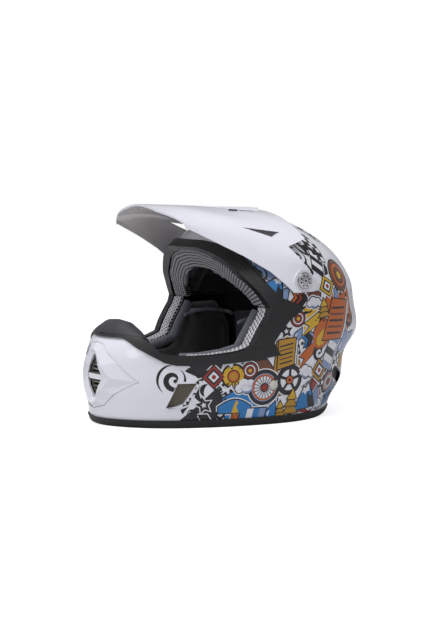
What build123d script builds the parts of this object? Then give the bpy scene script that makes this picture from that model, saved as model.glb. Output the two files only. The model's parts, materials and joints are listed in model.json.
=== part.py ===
from build123d import *
from functools import lru_cache
from math import cos, pi, radians, sin, sqrt
import os

os.makedirs("parts", exist_ok=True)

# A full face helmet for downhill riding. It stands on its lower edge.
# The face looks along -Y, the wearer's left is +X, up is +Z.
# The origin is on the floor, under the middle of the helmet.

# Shell
half_length = 178.5
half_width = 122.0
shell_height = 241.0
shell_wall = 4.0
shell_foot = 2.2
overrun = 40.0
seat_gap = 0.2
soft_gap = 0.4
ring_points = 16
wall_points = 24
liner_points = 16

# One row for each level of the shell: its height, then how far it reaches
# to the front and to the rear, its half width, and where it is widest.
LEVEL_SHARES = [
    (0.000, -0.927, 0.697, 0.861, 0.104),
    (0.066, -0.972, 0.765, 0.893, 0.104),
    (0.174, -0.992, 0.868, 0.934, 0.115),
    (0.282, -0.992, 0.880, 0.959, 0.137),
    (0.345, -0.978, 0.920, 0.971, 0.148),
    (0.400, -0.945, 0.985, 0.984, 0.160),
    (0.448, -0.890, 1.000, 0.992, 0.171),
    (0.527, -0.700, 0.975, 1.000, 0.193),
    (0.598, -0.530, 0.950, 1.000, 0.216),
    (0.660, -0.445, 0.932, 0.990, 0.227),
    (0.735, -0.390, 0.876, 0.945, 0.238),
    (0.822, -0.330, 0.776, 0.852, 0.238),
    (0.888, -0.250, 0.656, 0.738, 0.227),
    (0.938, -0.154, 0.543, 0.590, 0.216),
    (0.979, -0.010, 0.400, 0.393, 0.210),
    (1.000, 0.120, 0.290, 0.150, 0.210),
]

# Eyeport: its open edge seen from the side, as shares of half_length and
# shell_height, from the brow round the temple and along the chin bar.
PORT_SHARES = [
    (-1.300, 0.852), (-0.294, 0.852), (-0.252, 0.826), (-0.184, 0.760),
    (-0.138, 0.700), (-0.087, 0.649), (-0.044, 0.593), (-0.029, 0.572),
    (-0.040, 0.536), (-0.081, 0.490), (-0.123, 0.439), (-0.156, 0.388),
    (-0.236, 0.369), (-0.398, 0.354), (-0.517, 0.351), (-0.653, 0.352),
    (-0.721, 0.370), (-0.760, 0.409), (-0.800, 0.440), (-0.860, 0.447),
    (-1.300, 0.447),
]
# The trim's outer edge, with its pointed wing behind the temple.
TRIM_SHARES = [
    (-1.300, 0.888), (-0.244, 0.888), (-0.190, 0.867), (-0.120, 0.816),
    (-0.076, 0.763), (-0.020, 0.680), (0.045, 0.622), (0.226, 0.568),
    (0.106, 0.509), (0.050, 0.463), (-0.004, 0.404), (0.048, 0.342),
    (-0.112, 0.324), (-0.336, 0.310), (-0.521, 0.304), (-0.636, 0.307),
    (-0.697, 0.320), (-0.768, 0.354), (-0.826, 0.386), (-0.871, 0.432),
    (-1.300, 0.432),
]
trim_proud = 2.5
trim_lip = 2.8
trim_depth = 7.0

# Lower edge rubber
rubber_height = 9.5
rubber_wall = 1.8
rubber_gap = 0.15

# Foam liners
foam_inset = 5.4
foam_inner = 28.0
pad_inner = 35.0
brow_band = 10.6
band_reveal = 0.8
foam_low = 14.0
foam_floor = 60.0
cheek_rear = 66.0
cheek_top = 137.0
chin_foam_inner = 19.0
chin_foam_rear = -98.2
channel_width = 5.0
channel_depth = 3.0
crown_channel_x = 24.0
crown_channel_y = 40.0
nape_channel_z = 66.0
nape_channel_y = 118.0

# Nose guard, standing on the chin bar
guard_half = 57.0
guard_low = 90.0
guard_high = 122.5
# Sections from the middle outwards: where across, then the front foot, front
# shoulder, crest, rear shoulder and rear foot as (reach, height).
GUARD_SHARES = [
    (0.00, (-0.932, 0.44), (-0.850, 0.93), (-0.793, 1.00), (-0.745, 0.90), (-0.738, 0.30)),
    (0.35, (-0.905, 0.44), (-0.838, 0.87), (-0.793, 0.95), (-0.742, 0.86), (-0.735, 0.28)),
    (0.66, (-0.880, 0.40), (-0.834, 0.66), (-0.793, 0.74), (-0.738, 0.65), (-0.730, 0.22)),
    (1.00, (-0.840, 0.30), (-0.810, 0.44), (-0.780, 0.48), (-0.745, 0.40), (-0.738, 0.10)),
]

# Chin vent cover: half outlines from the top to the bottom, as shares of its
# half width and of its height.
cover_half = 60.5
cover_low = 19.7
cover_height = 77.3
COVER_EDGE_SHARES = [
    (0, 1), (0.258, 0.970), (0.628, 0.722), (1, 0.450), (0.579, 0.242), (0.339, 0.066), (0, 0),
]
COVER_RIDGE_SHARES = [
    (0, 0.903), (0.132, 0.864), (0.347, 0.664), (0.562, 0.489), (0.355, 0.308), (0.149, 0.120),
    (0, 0.082),
]
COVER_MOUTH_SHARES = [
    (0, 0.838), (0.041, 0.806), (0.165, 0.651), (0.291, 0.483), (0.174, 0.327), (0.041, 0.179),
    (0, 0.146),
]
cover_flush = 0.6
cover_proud = 3.2
cover_sunk = 1.6
cover_foot = 2.4
cover_pocket = 2.7
cover_gap = 0.5
cover_bar = 3.4
bar_sunk = 1.0
cross_bar = 4.6
cross_share = 0.483
mouth_bar = 6.0
mouth_margin = 1.5
grille_inset = 4.7
grille_wall = 1.2
grille_margin = 3.0
slat_pitch = 5.0
slat_gap = 2.6

# Side chin vents
SIDE_VENT_SHARES = [(-0.618, 0.219), (-0.500, 0.220), (-0.570, 0.121), (-0.616, 0.107), (-0.677, 0.100)]
vent_inset = 1.4
vent_wall = 1.2
vent_gap = 0.25

# Crown vents: middle across, middle along, length and width, as places on the shell
crown_vent_x = 24.0
crown_vent_y = 84.0
crown_vent_length = 34.0
crown_vent_width = 11.0
rear_vent_y = 112.0
rear_vent_z = 50.0
rear_vent_length = 30.0
rear_vent_height = 15.0
rear_vent_tilt = 28.0

# Visor
pivot_y = 37.4
pivot_z = 168.4
visor_half = 127.0
visor_height = 257.0
visor_wall = 2.5
# Sections from front to rear: how far along, then the flank's foot, the
# crease, the shoulder, the crown's side and the crown as (x, z).
VISOR_SHARES = [
    (-0.660, (0.697, 0.893), (0.610, 0.924), (0.410, 0.963), (0.213, 0.990), 1.000),
    (-0.513, (0.739, 0.835), (0.675, 0.911), (0.562, 0.945), (0.337, 0.980), 0.997),
    (-0.277, (0.811, 0.767), (0.723, 0.856), (0.602, 0.926), (0.353, 0.973), 0.990),
    (-0.008, (0.940, 0.642), (0.858, 0.795), (0.690, 0.892), (0.402, 0.951), 0.977),
    (0.087, (0.992, 0.584), (0.915, 0.768), (0.710, 0.882), (0.410, 0.948), 0.971),
    (0.204, (1.002, 0.584), (0.968, 0.742), (0.700, 0.882), (0.418, 0.942), 0.966),
    (0.412, (1.015, 0.576), (0.985, 0.715), (0.715, 0.864), (0.410, 0.928), 0.957),
]
# How far the flanks of the form run on below the foot, before they are trimmed.
flank_run_share = 0.5
# The visor's outline seen from the side, then from above.
VISOR_SIDE_SHARES = [
    (-0.900, 0.850), (-0.570, 0.850), (-0.546, 0.898), (-0.345, 0.831), (-0.176, 0.770),
    (-0.012, 0.698), (0.078, 0.640), (0.133, 0.602), (0.283, 0.604), (0.331, 0.609),
    (0.341, 0.630), (0.275, 0.675), (0.140, 0.810), (0.294, 0.840), (0.264, 1.100),
    (-0.900, 1.100),
]
VISOR_PLAN_SHARES = [
    (0, -0.638), (0.155, -0.636), (0.311, -0.627), (0.484, -0.597), (0.598, -0.571),
    (0.676, -0.549), (0.704, -0.520), (1.300, -0.500),
]
FLANK_SLOT_SHARES = [(-0.134, 0.898), (0.132, 0.872), (0.056, 0.851)]
boss_radius = 13.0
boss_face = 125.4
boss_back = 121.2
seat_face = 119.4
washer_radius = 11.0
# The ridge along the visor's middle: where it starts and ends, its half
# widths, and how high its rear end stands.
ridge_start = -55.0
ridge_end = 47.0
ridge_front_half = 3.0
ridge_rear_half = 9.0
ridge_foot_half = 15.0
ridge_top = 250.6
inlet_y = 8.0
inlet_length = 10.0
inlet_height = 3.0

# Screws
# The rounding of a screw's or rivet's head: how far across, how far up.
DOME_SHARES = [(1, 0), (0.80, 0.55), (0.42, 0.92), (0, 1)]
screw_radius = 10.2
screw_rise = 3.4
screw_edge = 1.1
shank_radius = 3.0
running_gap = 0.05
socket_radius = 2.2
socket_depth = 2.4
nut_radius = 4.6
nut_flange_radius = 8.0
nut_flange = 1.6
nut_inner = 110.6
nut_clear = 0.15

# Chin strap
strap_y = 2.4
strap_width = 20.0
strap_wall = 1.6
rivet_z = 47.2
rivet_head_radius = 5.6
rivet_head_rise = 2.4
rivet_tail = 4.0
rivet_foot = 1.2
rivet_shank = 2.0
rivet_clear = 0.15
plate_face = 108.2
plate_wall = 1.5
plate_height = 17.0
bend_radius = 9.0
ring_bar_x = 56.0
ring_length = 19.0
ring_width = 28.0
ring_flat = 2.6
ring_nose = 9.0
ring_wire = 1.5
ring_stack = 1.8
strap_z = 8.0
fold_x = 44.0
fold_end = 78.0
fold_rise = 5.2
snap_x = 68.0
snap_radius = 6.0
snap_rise = 1.6
snap_post = 2.0
snap_core = 4.2

# Cheek pads
# Outline in side view as shares of half_length and shell_height.
CHEEK_SHARES = [
    (-0.020, 0.555), (-0.110, 0.440), (-0.150, 0.375), (-0.230, 0.358), (-0.500, 0.340),
    (-0.545, 0.270), (-0.500, 0.120), (-0.400, 0.085), (0.200, 0.085), (0.330, 0.200),
    (0.345, 0.420), (0.250, 0.548),
]
cheek_outer = 99.0
cheek_inner = 62.0
cheek_plate_share = 0.74
cheek_foam_share = 0.93
mesh_depth = 18.0
mesh_band = 7.0
mesh_front = -92.0
bolster_radius = 5.4
bolster_inset = 39.0
# The piping's line in side view, from the temple down and forward.
BOLSTER_SHARES = [
    (0.003, 0.543), (-0.050, 0.476), (-0.093, 0.424), (-0.136, 0.368), (-0.244, 0.344),
    (-0.398, 0.328), (-0.504, 0.326),
]
# Sections of the cheek pad from its back to its face: how deep, how wide.
CHEEK_SECTION_SHARES = [(0, 0.93), (0.15, 1), (0.60, 1), (0.86, 0.93), (1, 0.74)]
seam_y = -38.0
stud_reach = 24.0
stud_rise = 6.0
stud_step = 22.0
cheek_plate_wall = 1.6
snap_stud = 4.0
snap_stud_length = 3.0

# Neck roll
neck_depth = 41.0
neck_low = 16.0
neck_high = 120.0


def level_row(row):
    """One level of the shell in real sizes: height, front, rear, half width, middle."""
    height_share, front_share, rear_share, wide_share, middle_share = LEVEL_SHARES[row]
    return (
        height_share * shell_height,
        front_share * half_length,
        rear_share * half_length,
        wide_share * half_width,
        middle_share * half_length,
    )


def level_point(row, turn):
    """A point of the shell's outer face on one level, turn radians from the front."""
    height, front, rear, wide, middle = level_row(row)
    reach = middle - front if cos(turn) > 0 else rear - middle
    return Vector(wide * sin(turn), middle - reach * cos(turn), height)


def inset_point(row, turn, inset):
    """The same point moved inwards by inset, square to the outer face."""
    last = len(LEVEL_SHARES) - 1
    here = level_point(row, turn)
    step = radians(1)
    along = level_point(row, turn + step) - level_point(row, turn - step)
    rise = level_point(min(row + 1, last), turn) - level_point(max(row - 1, 0), turn)
    normal = along.cross(rise).normalized()
    moved = here - normal * inset
    if row == 0:
        moved.Z = here.Z
    if row == last:
        moved.Z = here.Z - inset
    return moved


@lru_cache(maxsize=None)
def shell_form(inset, count=0):
    """The closed form inside the shell's outer face, inset from it: smooth, or with count flats."""
    smooth = count == 0
    count = count or ring_points
    rings = []
    for row in range(0, len(LEVEL_SHARES)):
        points = [inset_point(row, 2 * pi * (n + 0.5) / count, inset) for n in range(count)]
        if smooth:
            rings.append(Wire([Edge.make_spline(points, periodic=True)]))
        else:
            rings.append(Wire.make_polygon(points, close=True))
    return Solid.make_loft(rings, ruled=not smooth)


def lining(region, outer_inset, inner_inset):
    """The part of a region that lies between two insets of the shell."""
    return (region & shell_form(outer_inset, liner_points)) - shell_form(inner_inset, liner_points)


def flank_x(y, z, inset=0):
    """How far out the shell's side is at a place in side view, inset from it."""
    rows = [level_row(n) for n in range(len(LEVEL_SHARES))]
    for low, high in zip(rows, rows[1:]):
        if low[0] <= z <= high[0]:
            part = (z - low[0]) / (high[0] - low[0])
            front, rear, wide, middle = (a + (b - a) * part for a, b in zip(low[1:], high[1:]))
            reach = middle - front if y < middle else rear - middle
            return (wide - inset) * sqrt(max(0, 1 - ((y - middle) / (reach - inset)) ** 2))
    return 0


def side_points(shares):
    """Shares of the shell's length and height as (y, z) points."""
    return [(y * half_length, z * shell_height) for y, z in shares]


def side_face(points, out=0):
    """The face of an outline in side view, grown by out."""
    face = Face(Wire.make_polygon([(0, y, z) for y, z in points], close=True))
    if out:
        face = offset(face, amount=out, kind=Kind.INTERSECTION)
    return face


def side_prism(points, out=0, side=0):
    """An outline in side view, pushed through the helmet, or to one side of it."""
    face = side_face(points, out)
    far = half_width + overrun
    if side:
        return extrude(face, far, dir=(side, 0, 0))
    return extrude(face, far, dir=(1, 0, 0), both=True)


def band(low, high):
    """A thick plate between two heights, wider than the helmet."""
    size = 4 * half_length
    return Pos(0, 0, (low + high) / 2) * Box(size, size, high - low)


def rod(radius, start, end, y, z):
    """A round bar along X between two places across."""
    middle = Plane(origin=((start + end) / 2, y, z), z_dir=(1, 0, 0))
    return middle * Cylinder(radius, abs(end - start))


def mirrored(shape):
    """The same shape on the helmet's other side."""
    return mirror(shape, about=Plane.YZ)


def save(name, shape):
    """Writes one named piece as its own file."""
    solids = shape.solids()
    body = solids[0] if len(solids) == 1 else Compound(children=list(solids))
    export_step(body, os.path.join("parts", name + ".step"))
    print(name, len(solids), round(sum(s.volume for s in solids)))


PORT = side_points(PORT_SHARES)
TRIM = side_points(TRIM_SHARES)
SIDE_VENT = side_points(SIDE_VENT_SHARES)


def cover_points(shares, proud):
    """A ring of the chin cover, all round, standing proud of the shell."""
    half = []
    for x_share, z_share in shares:
        x = x_share * cover_half
        z = cover_low + z_share * cover_height
        half.append((x, front_y(x, z) - proud, z))
    return half + [(-x, y, z) for x, y, z in reversed(half[1:-1])]


def front_y(x, z):
    """How far forward the shell's front is at a place in front view."""
    rows = [level_row(n) for n in range(len(LEVEL_SHARES))]
    for low, high in zip(rows, rows[1:]):
        if low[0] <= z <= high[0]:
            part = (z - low[0]) / (high[0] - low[0])
            front, rear, wide, middle = (a + (b - a) * part for a, b in zip(low[1:], high[1:]))
            return middle - (middle - front) * sqrt(max(0, 1 - (x / wide) ** 2))
    return 0


def front_prism(points, out=0):
    """An outline in front view, pushed through the chin bar."""
    face = Face(Wire.make_polygon([(x, -half_length - overrun, z) for x, y, z in points], close=True))
    if out:
        face = offset(face, amount=out, kind=Kind.INTERSECTION)
    return extrude(face, half_length, dir=(0, 1, 0))


def mouth_windows(margin):
    """The two windows of the chin vent, above and below its cross bar."""
    prism = front_prism(cover_points(COVER_MOUTH_SHARES, 0), margin)
    middle = cover_low + cross_share * cover_height
    return prism - band(middle - mouth_bar / 2, middle + mouth_bar / 2)


def make_shell():
    """The outer shell, open at the face, the neck and the vents."""
    cuts = [
        band(-overrun, shell_foot),
        side_prism(PORT, trim_lip + seat_gap),
        front_prism(cover_points(COVER_EDGE_SHARES, 0), cover_gap) - shell_form(cover_pocket),
        mouth_windows(mouth_margin),
        side_prism(SIDE_VENT),
        crown_vent_cuts(0),
        rear_vent_cuts(0),
    ]
    shell = shell_form(0) - shell_form(shell_wall, wall_points)
    shell = shell - cuts
    bosses = [
        rod(boss_radius, side * (nut_inner + nut_flange + seat_gap), side * seat_face, pivot_y, pivot_z)
        for side in (1, -1)
    ]
    shell = shell + bosses
    holes = []
    flange = nut_flange_radius + 2 * seat_gap
    flange_face = nut_inner + nut_flange + seat_gap
    for side in (1, -1):
        holes.append(rod(nut_radius + nut_clear, side * foam_inner, side * half_width, pivot_y, pivot_z))
        holes.append(rod(flange, side * foam_inner, side * flange_face, pivot_y, pivot_z))
        holes.append(rod(boss_radius, side * seat_face, side * (half_width + overrun), pivot_y, pivot_z))
        holes.append(rod(rivet_shank + rivet_clear, side * foam_inner, side * half_width, strap_y, rivet_z))
        spot = rivet_head_radius + 2 * seat_gap
        spot_face = flank_x(strap_y, rivet_z)
        holes.append(rod(spot, side * spot_face, side * (half_width + overrun), strap_y, rivet_z))
    return shell - holes


def crown_vent_cuts(gap):
    """The long slots in the crown, less gap all round."""
    slot = SlotOverall(crown_vent_length - 2 * gap, crown_vent_width - 2 * gap, rotation=90)
    slots = Sketch() + [Pos(side * crown_vent_x, crown_vent_y) * slot for side in (1, -1)]
    return Pos(0, 0, shell_height / 2) * extrude(slots, shell_height)


def rear_vent_cuts(gap):
    """The slots low on the rear quarters, less gap all round."""
    slot = SlotOverall(rear_vent_length - 2 * gap, rear_vent_height - 2 * gap)
    cuts = None
    for side in (1, -1):
        plane = Plane(origin=(0, rear_vent_y, rear_vent_z), x_dir=(0, 1, 0), z_dir=(side, 0, 0))
        cut = extrude(plane * Rot(0, 0, -side * rear_vent_tilt) * slot, half_width)
        cuts = cut if cuts is None else cuts + cut
    return cuts


def make_trim():
    """The moulded edge of the eyeport: a proud band with wings, and a lip round the shell's edge."""
    trim = side_prism(TRIM) - side_prism(PORT)
    trim &= shell_form(-trim_proud)
    under_band = shell_form(-seat_gap) - side_prism(PORT, trim_lip)
    return trim - [shell_form(trim_depth, wall_points), under_band]


def make_guard():
    """The soft nose guard that stands on the chin bar, behind its top edge."""
    rings = []
    for across, *places in list(reversed(GUARD_SHARES)) + GUARD_SHARES[1:]:
        side = -1 if len(rings) < len(GUARD_SHARES) - 1 else 1
        rise = guard_high - guard_low
        points = [(side * across * guard_half, y * half_length, guard_low + z * rise) for y, z in places]
        crest = Edge.make_spline(points)
        foot = Edge.make_line(points[-1], points[0])
        rings.append(Wire([crest, foot]))
    guard = Solid.make_loft(rings, ruled=True)
    guard &= side_prism(PORT, -seat_gap)
    return guard


def make_rubber():
    """The channel of rubber pressed over the shell's lower edge."""
    rubber = band(0, rubber_height) & shell_form(-rubber_wall - rubber_gap)
    core = shell_form(shell_wall + rubber_wall + rubber_gap, wall_points)
    channel = shell_form(-rubber_gap) - band(-overrun, shell_foot - seat_gap)
    ridge = shell_form(shell_wall + rubber_gap, wall_points)
    return rubber - core - (channel - ridge)


def make_cover():
    """The faceted chin vent cover: a sloping border, a ridge, and a mouth with a cross."""
    rings = [
        cover_points(COVER_EDGE_SHARES, -2 * cover_pocket),
        cover_points(COVER_EDGE_SHARES, cover_flush),
        cover_points(COVER_RIDGE_SHARES, cover_proud),
        cover_points(COVER_MOUTH_SHARES, -cover_sunk),
        cover_points(COVER_MOUTH_SHARES, -2 * cover_pocket),
    ]
    faces = []
    for one, two in zip(rings, rings[1:] + rings[:1]):
        count = len(one)
        for n in range(count):
            m = (n + 1) % count
            faces.append(Face(Wire.make_polygon([one[n], one[m], two[m]], close=True)))
            faces.append(Face(Wire.make_polygon([one[n], two[m], two[n]], close=True)))
    mouth = front_prism(cover_points(COVER_MOUTH_SHARES, 0), cover_gap)
    middle = cover_low + cross_share * cover_height
    upright = mouth & Pos(0, -half_length, shell_height / 2) * Box(cover_bar, half_length, shell_height)
    cross = mouth & band(middle - cross_bar / 2, middle + cross_bar / 2)
    bars = (upright + cross) & shell_form(bar_sunk, liner_points)
    return Solid(Shell(faces)) + bars - shell_form(cover_foot)


def make_grille():
    """The slatted grille behind the chin vent."""
    region = front_prism(cover_points(COVER_MOUTH_SHARES, 0), grille_margin)
    plate = lining(region, grille_inset, grille_inset + grille_wall)
    mouth = front_prism(cover_points(COVER_MOUTH_SHARES, 0))
    gaps = []
    for n in range(int(cover_height / slat_pitch)):
        z = cover_low + (n + 0.5) * slat_pitch
        gaps.append(band(z - slat_gap / 2, z + slat_gap / 2) & mouth)
    return plate - gaps


def make_side_vents():
    """The mesh plates set into the side chin vents."""
    return lining(side_prism(SIDE_VENT, -vent_gap), vent_inset, vent_inset + vent_wall)


def make_crown_vents():
    """The plates set into the crown's slots."""
    return lining(crown_vent_cuts(vent_gap), vent_inset, vent_inset + vent_wall)


def make_rear_vents():
    """The plates set into the low slots of the rear quarters."""
    return lining(rear_vent_cuts(vent_gap), vent_inset, vent_inset + vent_wall)


def make_crown_foam():
    """The foam that takes the blow, from the brow over the crown to the nape."""
    far = half_length + overrun
    top = shell_height + overrun
    outline = [
        (cheek_rear, foam_low), (far, foam_low), (far, top),
        (-far, top), (-far, cheek_top), (cheek_rear, cheek_top),
    ]
    region = side_prism(outline) - side_prism(PORT, brow_band + soft_gap)
    foam = lining(region, foam_inset, foam_inner)
    deep = nut_inner - soft_gap
    pockets = [
        rod(boss_radius + soft_gap, side * deep, side * half_width, pivot_y, pivot_z)
        for side in (1, -1)
    ]
    return foam - pockets - crown_vent_cuts(0) - rear_vent_cuts(0)


def make_chin_foam():
    """The foam inside the chin bar, with the vents carried through it."""
    outline = [
        (-half_length, foam_low), (chin_foam_rear, foam_low),
        (chin_foam_rear, shell_height / 2), (-half_length, shell_height / 2),
    ]
    region = side_prism(outline) - side_prism(PORT, trim_lip + soft_gap)
    foam = lining(region, foam_inset, chin_foam_inner)
    seat = front_prism(cover_points(COVER_MOUTH_SHARES, 0), grille_margin + soft_gap)
    seat = seat - shell_form(grille_inset + grille_wall + soft_gap, liner_points)
    return foam - [seat, mouth_windows(0), side_prism(SIDE_VENT)]


def make_brow_liner():
    """The padded band round the top of the eyeport."""
    region = side_prism(PORT, brow_band) - side_prism(PORT, band_reveal)
    region &= band(cheek_top + soft_gap, shell_height)
    return lining(region, trim_depth + soft_gap, pad_inner)


def make_crown_pad():
    """The comfort lining of the crown."""
    region = band(cheek_top + soft_gap, shell_height) - side_prism(PORT, brow_band + soft_gap)
    pad = lining(region, foam_inner + soft_gap, pad_inner)
    size = 4 * half_length
    grooves = [Pos(side * crown_channel_x) * Box(channel_width, size, size) for side in (1, -1)]
    grooves.append(Pos(0, crown_channel_y) * Box(size, channel_width, size))
    return pad - [groove & shell_form(pad_inner - channel_depth, liner_points) for groove in grooves]


def make_neck_roll():
    """The padded roll round the nape."""
    front = cheek_rear + soft_gap
    outline = [(front, neck_low), (half_length, neck_low), (half_length, neck_high), (front, neck_high)]
    roll = lining(side_prism(outline), foam_inner + soft_gap, neck_depth)
    size = 4 * half_length
    grooves = [
        Pos(0, 0, nape_channel_z) * Box(size, size, channel_width),
        Pos(0, nape_channel_y, 0) * Box(size, channel_width, size),
    ]
    return roll - [groove & shell_form(neck_depth - channel_depth, liner_points) for groove in grooves]


def cheek_face(out=0):
    """The outline of a cheek pad in side view."""
    face = side_face(side_points(CHEEK_SHARES), out)
    return face - side_face(PORT, 2 * bolster_radius + 3 * soft_gap + band_reveal)


def cheek_size(share):
    """The outline of a cheek pad scaled about its middle, in the plane X = 0."""
    face = cheek_face()
    return Pos(face.center() * (1 - share)) * scale(face, by=share)


def make_cheek_pad():
    """The left cheek pad: a cushion with a crown on its inner face and drawn-in sides."""
    depth = cheek_outer - cheek_inner
    sections = []
    for depth_share, size_share in CHEEK_SECTION_SHARES:
        sections.append(Pos(cheek_outer - depth_share * depth, 0, 0) * cheek_size(size_share))
    pad = loft(sections, ruled=True)
    pad &= shell_form(foam_inset + snap_stud, liner_points)
    seam = Pos(cheek_inner, seam_y, shell_height / 2) * Box(2 * channel_depth, channel_depth, shell_height)
    return pad - seam


def make_cheek_mesh():
    """The strip along the left cheek pad's front edge, under the temple."""
    region = side_prism(PORT, mesh_band, side=1) - side_prism(PORT, band_reveal)
    region &= Pos(0, half_length + mesh_front, 0) * Box(4 * half_length, 2 * half_length, 2 * cheek_top)
    return lining(region, trim_depth + soft_gap, trim_depth + mesh_depth)


def visor_ring(section, inset):
    """One closed section of the visor, inset from its outer face."""
    along, foot, crease, shoulder, side, top = section
    foot = tuple(f + (f - c) * flank_run_share for f, c in zip(foot, crease))
    half = [(x * visor_half, z * visor_height) for x, z in (foot, crease, shoulder, side)]
    half.append((0, top * visor_height))
    places = half + [(-x, z) for x, z in reversed(half[:-1])]
    moved = []
    for n, (x, z) in enumerate(places):
        before = places[max(n - 1, 0)]
        after = places[min(n + 1, len(places) - 1)]
        run = Vector(after[0] - before[0], after[1] - before[1]).normalized()
        moved.append(Vector(x - run.Y * inset, along * half_length, z + run.X * inset))
    return moved


def visor_form(inset):
    """The closed form inside the visor's outer face, inset from it."""
    rings = []
    for section in VISOR_SHARES:
        p = visor_ring(section, inset)
        edges = [
            Edge.make_line(p[0], p[1]),
            Edge.make_spline(p[1:8]),
            Edge.make_line(p[7], p[8]),
            Edge.make_line(p[8], p[0]),
        ]
        rings.append(Wire(edges))
    return Solid.make_loft(rings)


def visor_ridge():
    """The low ridge on the visor's crown, rising to the rear."""
    base = shell_height - visor_wall
    front_top = (visor_height + ridge_top) / 2
    front = (ridge_start, ridge_front_half, ridge_foot_half / 2, front_top)
    rear = (ridge_end, ridge_rear_half, ridge_foot_half, ridge_top)
    rings = []
    for y, half, foot, top in (front, rear):
        points = [(foot, y, base), (half, y, top), (-half, y, top), (-foot, y, base)]
        rings.append(Wire.make_polygon(points, close=True))
    return Solid.make_loft(rings, ruled=True)


def make_visor():
    """The peak: an arched sheet with creased flanks that reach back to the pivots."""
    outline = [(y * half_length, z * visor_height) for y, z in VISOR_SIDE_SHARES]
    plan = [(x * visor_half, y * half_length) for x, y in VISOR_PLAN_SHARES]
    plan = [(-x, y) for x, y in reversed(plan[1:])] + plan
    corners = [(plan[-1][0], half_length), (plan[0][0], half_length)]
    face = Face(Wire.make_polygon([(x, y, 0) for x, y in plan + corners], close=True))
    blank = side_prism(outline) & extrude(face, 2 * visor_height)
    visor = (blank & visor_form(0)) + (visor_ridge() & blank) - visor_form(visor_wall)
    visor = visor + [
        rod(boss_radius, side * boss_back, side * boss_face, pivot_y, pivot_z) for side in (1, -1)
    ]
    slot = side_prism([(y * half_length, z * visor_height) for y, z in FLANK_SLOT_SHARES])
    cuts = [slot - Pos(0, 0, visor_height) * Box(visor_half, visor_height, visor_height)]
    for side in (1, -1):
        cuts.append(rod(boss_radius + visor_wall, 0, side * boss_back, pivot_y, pivot_z))
        cuts.append(rod(boss_radius, side * boss_face, side * (half_width + overrun), pivot_y, pivot_z))
        cuts.append(rod(shank_radius + running_gap, 0, side * boss_face, pivot_y, pivot_z))
        inlet = Box(ridge_foot_half, inlet_length, inlet_height)
        cuts.append(Pos(side * ridge_foot_half, inlet_y, ridge_top - inlet_height) * inlet)
    return visor - cuts


def along_y(radius, low, high, x=0, z=0):
    """A round bar along Y between two places."""
    return Pos(x, (low + high) / 2, z) * Rot(90, 0, 0) * Cylinder(radius, high - low)


def dome(face, radius, rise, edge):
    """A shallow domed disc on the Y axis, with its flat side at face."""
    half = [(0, face), (radius, face)]
    for across_share, up_share in DOME_SHARES:
        half.append((across_share * radius, face + edge + up_share * (rise - edge)))
    return revolve(Face(Wire.make_polygon(half, close=True)), Axis.Y)


def make_screw():
    """The left visor screw: a shallow domed head with a socket, and its shank."""
    face = boss_face + seat_gap
    head = dome(face, screw_radius, screw_rise, screw_edge)
    socket = along_y(socket_radius, face + screw_rise - socket_depth, face + 2 * screw_rise)
    shank = along_y(shank_radius, nut_inner + nut_flange + seat_gap, face)
    return Pos(0, pivot_y, pivot_z) * Rot(0, 0, -90) * (head - socket + shank)


def make_washer():
    """The ring between the left flank of the visor and its seat on the shell."""
    washer = rod(washer_radius, seat_face + seat_gap / 2, boss_back - seat_gap / 2, pivot_y, pivot_z)
    return washer - rod(shank_radius + 2 * running_gap, 0, boss_face, pivot_y, pivot_z)


def make_nut():
    """The left flanged nut that the visor screw turns into."""
    flange = rod(nut_flange_radius, nut_inner, nut_inner + nut_flange, pivot_y, pivot_z)
    barrel = rod(nut_radius, nut_inner + nut_flange, seat_face - 2 * seat_gap, pivot_y, pivot_z)
    return flange + barrel - rod(shank_radius + running_gap, 0, boss_face, pivot_y, pivot_z)


def strap_line():
    """The strap's path from its rivet down to the level of the rings, as (x, z)."""
    top = plate_face - plate_wall - seat_gap - strap_wall / 2
    return [
        (top, rivet_z + plate_height / 2),
        (top, rivet_z - plate_height / 2),
        (cheek_outer + strap_wall, 2 * rubber_height),
        (cheek_outer - bend_radius, strap_z),
    ]


def strap_sheet(points, radii):
    """A flat strap that follows a path of (x, z) points."""
    outline = trace(FilletPolyline(*points, radius=radii), line_width=strap_wall)
    return Pos(0, strap_y, 0) * Rot(90, 0, 0) * extrude(outline, strap_width / 2, both=True)


def rivet_hole(side):
    """The hole for one side's strap rivet."""
    return rod(rivet_shank + rivet_clear, side * cheek_outer, side * half_width, strap_y, rivet_z)


def make_strap_short():
    """The short strap, from its rivet under the left cheek pad to the two rings."""
    skin = ring_wire + strap_wall
    strap = strap_sheet(strap_line() + [(ring_bar_x + skin, strap_z)], bend_radius)
    loop = Box(2 * skin, strap_width, 2 * (ring_stack + skin))
    loop = fillet(loop.edges().filter_by(Axis.Y), ring_wire + strap_wall / 2)
    strap = strap + Pos(ring_bar_x, strap_y, strap_z) * loop
    bars = [
        along_y(ring_wire + running_gap, -strap_width, strap_width, ring_bar_x, strap_z + lift)
        for lift in (ring_stack, -ring_stack)
    ]
    return strap - bars - rivet_hole(1)


def make_strap_long():
    """The long strap, folded back on itself and closed with its snap."""
    fold = [(fold_x, strap_z), (fold_x, strap_z + fold_rise), (fold_end, strap_z + fold_rise)]
    run = [(-x, z) for x, z in strap_line() + fold]
    half_fold = fold_rise / 2 - seat_gap
    strap = strap_sheet(run, [bend_radius, bend_radius, bend_radius, half_fold, half_fold])
    hole = Pos(-snap_x, strap_y, strap_z) * Cylinder(snap_post + rivet_clear, 4 * fold_rise)
    return strap - hole - rivet_hole(-1)


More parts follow.
